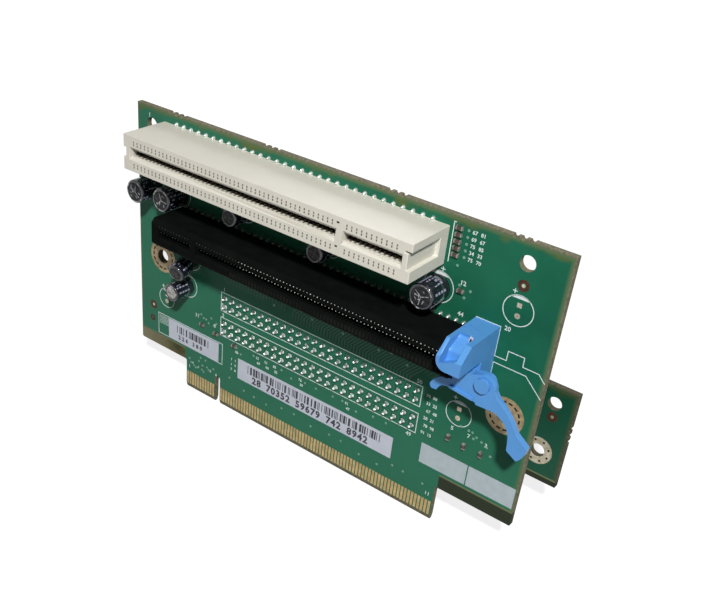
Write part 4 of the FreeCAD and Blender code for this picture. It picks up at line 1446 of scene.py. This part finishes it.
def add_room(strength):
    """Even light that the camera sees as plain white."""
    world = bpy.data.worlds.new("room")
    world.use_nodes = True
    tree = world.node_tree
    back = tree.nodes["Background"]
    feed(tree, back.inputs["Color"], (1.0, 1.0, 1.0))
    feed(tree, back.inputs["Strength"], blend(tree, seen_rays(tree), strength, 1.0, "FLOAT"))
    bpy.context.scene.world = world


def add_area(name, place, target, size, energy):
    """Square soft light that looks at a point."""
    light = bpy.data.lights.new(name, "AREA")
    light.size = size
    light.energy = energy
    holder = bpy.data.objects.new(name, light)
    bpy.context.scene.collection.objects.link(holder)
    holder.location = place
    holder.rotation_euler = (Vector(target) - Vector(place)).to_track_quat("-Z", "Y").to_euler()


def add_camera(settings):
    """The camera, by its place, turn, lens and shift."""
    camera = bpy.data.cameras.new("camera")
    camera.sensor_width = 36.0
    camera.lens = settings.lens
    camera.shift_x, camera.shift_y = settings.shift
    camera.clip_start = 0.005
    holder = bpy.data.objects.new("camera", camera)
    bpy.context.scene.collection.objects.link(holder)
    holder.location = settings.camera_place
    holder.rotation_euler = settings.camera_turn
    bpy.context.scene.camera = holder


class RISER_OT_stage(bpy.types.Operator):
    """Sets the pale floor, the soft lights, the room light and the camera."""

    bl_idname = "riser.stage"
    bl_label = "Stage"

    def execute(self, context):
        settings = context.scene.riser_stage
        context.scene.view_settings.view_transform = "Standard"
        add_floor()
        add_room(settings.world_strength)
        middle = (BOARD_LOW + BOARD_HIGH) / 2 * MM
        add_area("key_light", middle + KEY_PLACE, middle, KEY_SIZE, settings.key_energy)
        add_area("back_light", middle + BACK_PLACE, middle, BACK_SIZE, settings.back_energy)
        add_camera(settings)
        return {"FINISHED"}


# ---------------------------------------------------------------- panel and registration
class RISER_PT_panel(bpy.types.Panel):
    """Lists the pieces of the card."""

    bl_idname = "RISER_PT_panel"
    bl_label = "Riser card"
    bl_space_type = "VIEW_3D"
    bl_region_type = "UI"
    bl_category = "Riser card"

    def draw(self, context):
        layout = self.layout
        for operator in OPERATORS:
            layout.operator(operator.bl_idname)
        for name, group in SETTINGS.items():
            box = layout.box()
            for key in group.__annotations__:
                box.prop(getattr(context.scene, name), key)


SETTINGS = {
    "riser_board": RiserBoardSettings,
    "riser_part": RiserPartSettings,
    "riser_stage": RiserStageSettings,
}
OPERATORS = (
    RISER_OT_boards,
    RISER_OT_traces,
    RISER_OT_print,
    RISER_OT_slots,
    RISER_OT_latch,
    RISER_OT_capacitors,
    RISER_OT_headers,
    RISER_OT_labels,
    RISER_OT_stage,
)


def register():
    """Registers the settings, the operators and the panel."""
    for name, group in SETTINGS.items():
        bpy.utils.register_class(group)
        setattr(bpy.types.Scene, name, bpy.props.PointerProperty(type=group))
    for operator in OPERATORS:
        bpy.utils.register_class(operator)
    bpy.utils.register_class(RISER_PT_panel)


def unregister():
    """Removes them again."""
    bpy.utils.unregister_class(RISER_PT_panel)
    for operator in reversed(OPERATORS):
        bpy.utils.unregister_class(operator)
    for name, group in SETTINGS.items():
        delattr(bpy.types.Scene, name)
        bpy.utils.unregister_class(group)


def main():
    """Builds every piece in order."""
    register()
    random.seed(7)
    for operator in OPERATORS:
        group, name = operator.bl_idname.split(".")
        result = getattr(getattr(bpy.ops, group), name)()
        if result != {"FINISHED"}:
            raise RuntimeError(operator.bl_label + " did not finish")
    bpy.context.view_layer.update()


if __name__ == "__main__":
    main()
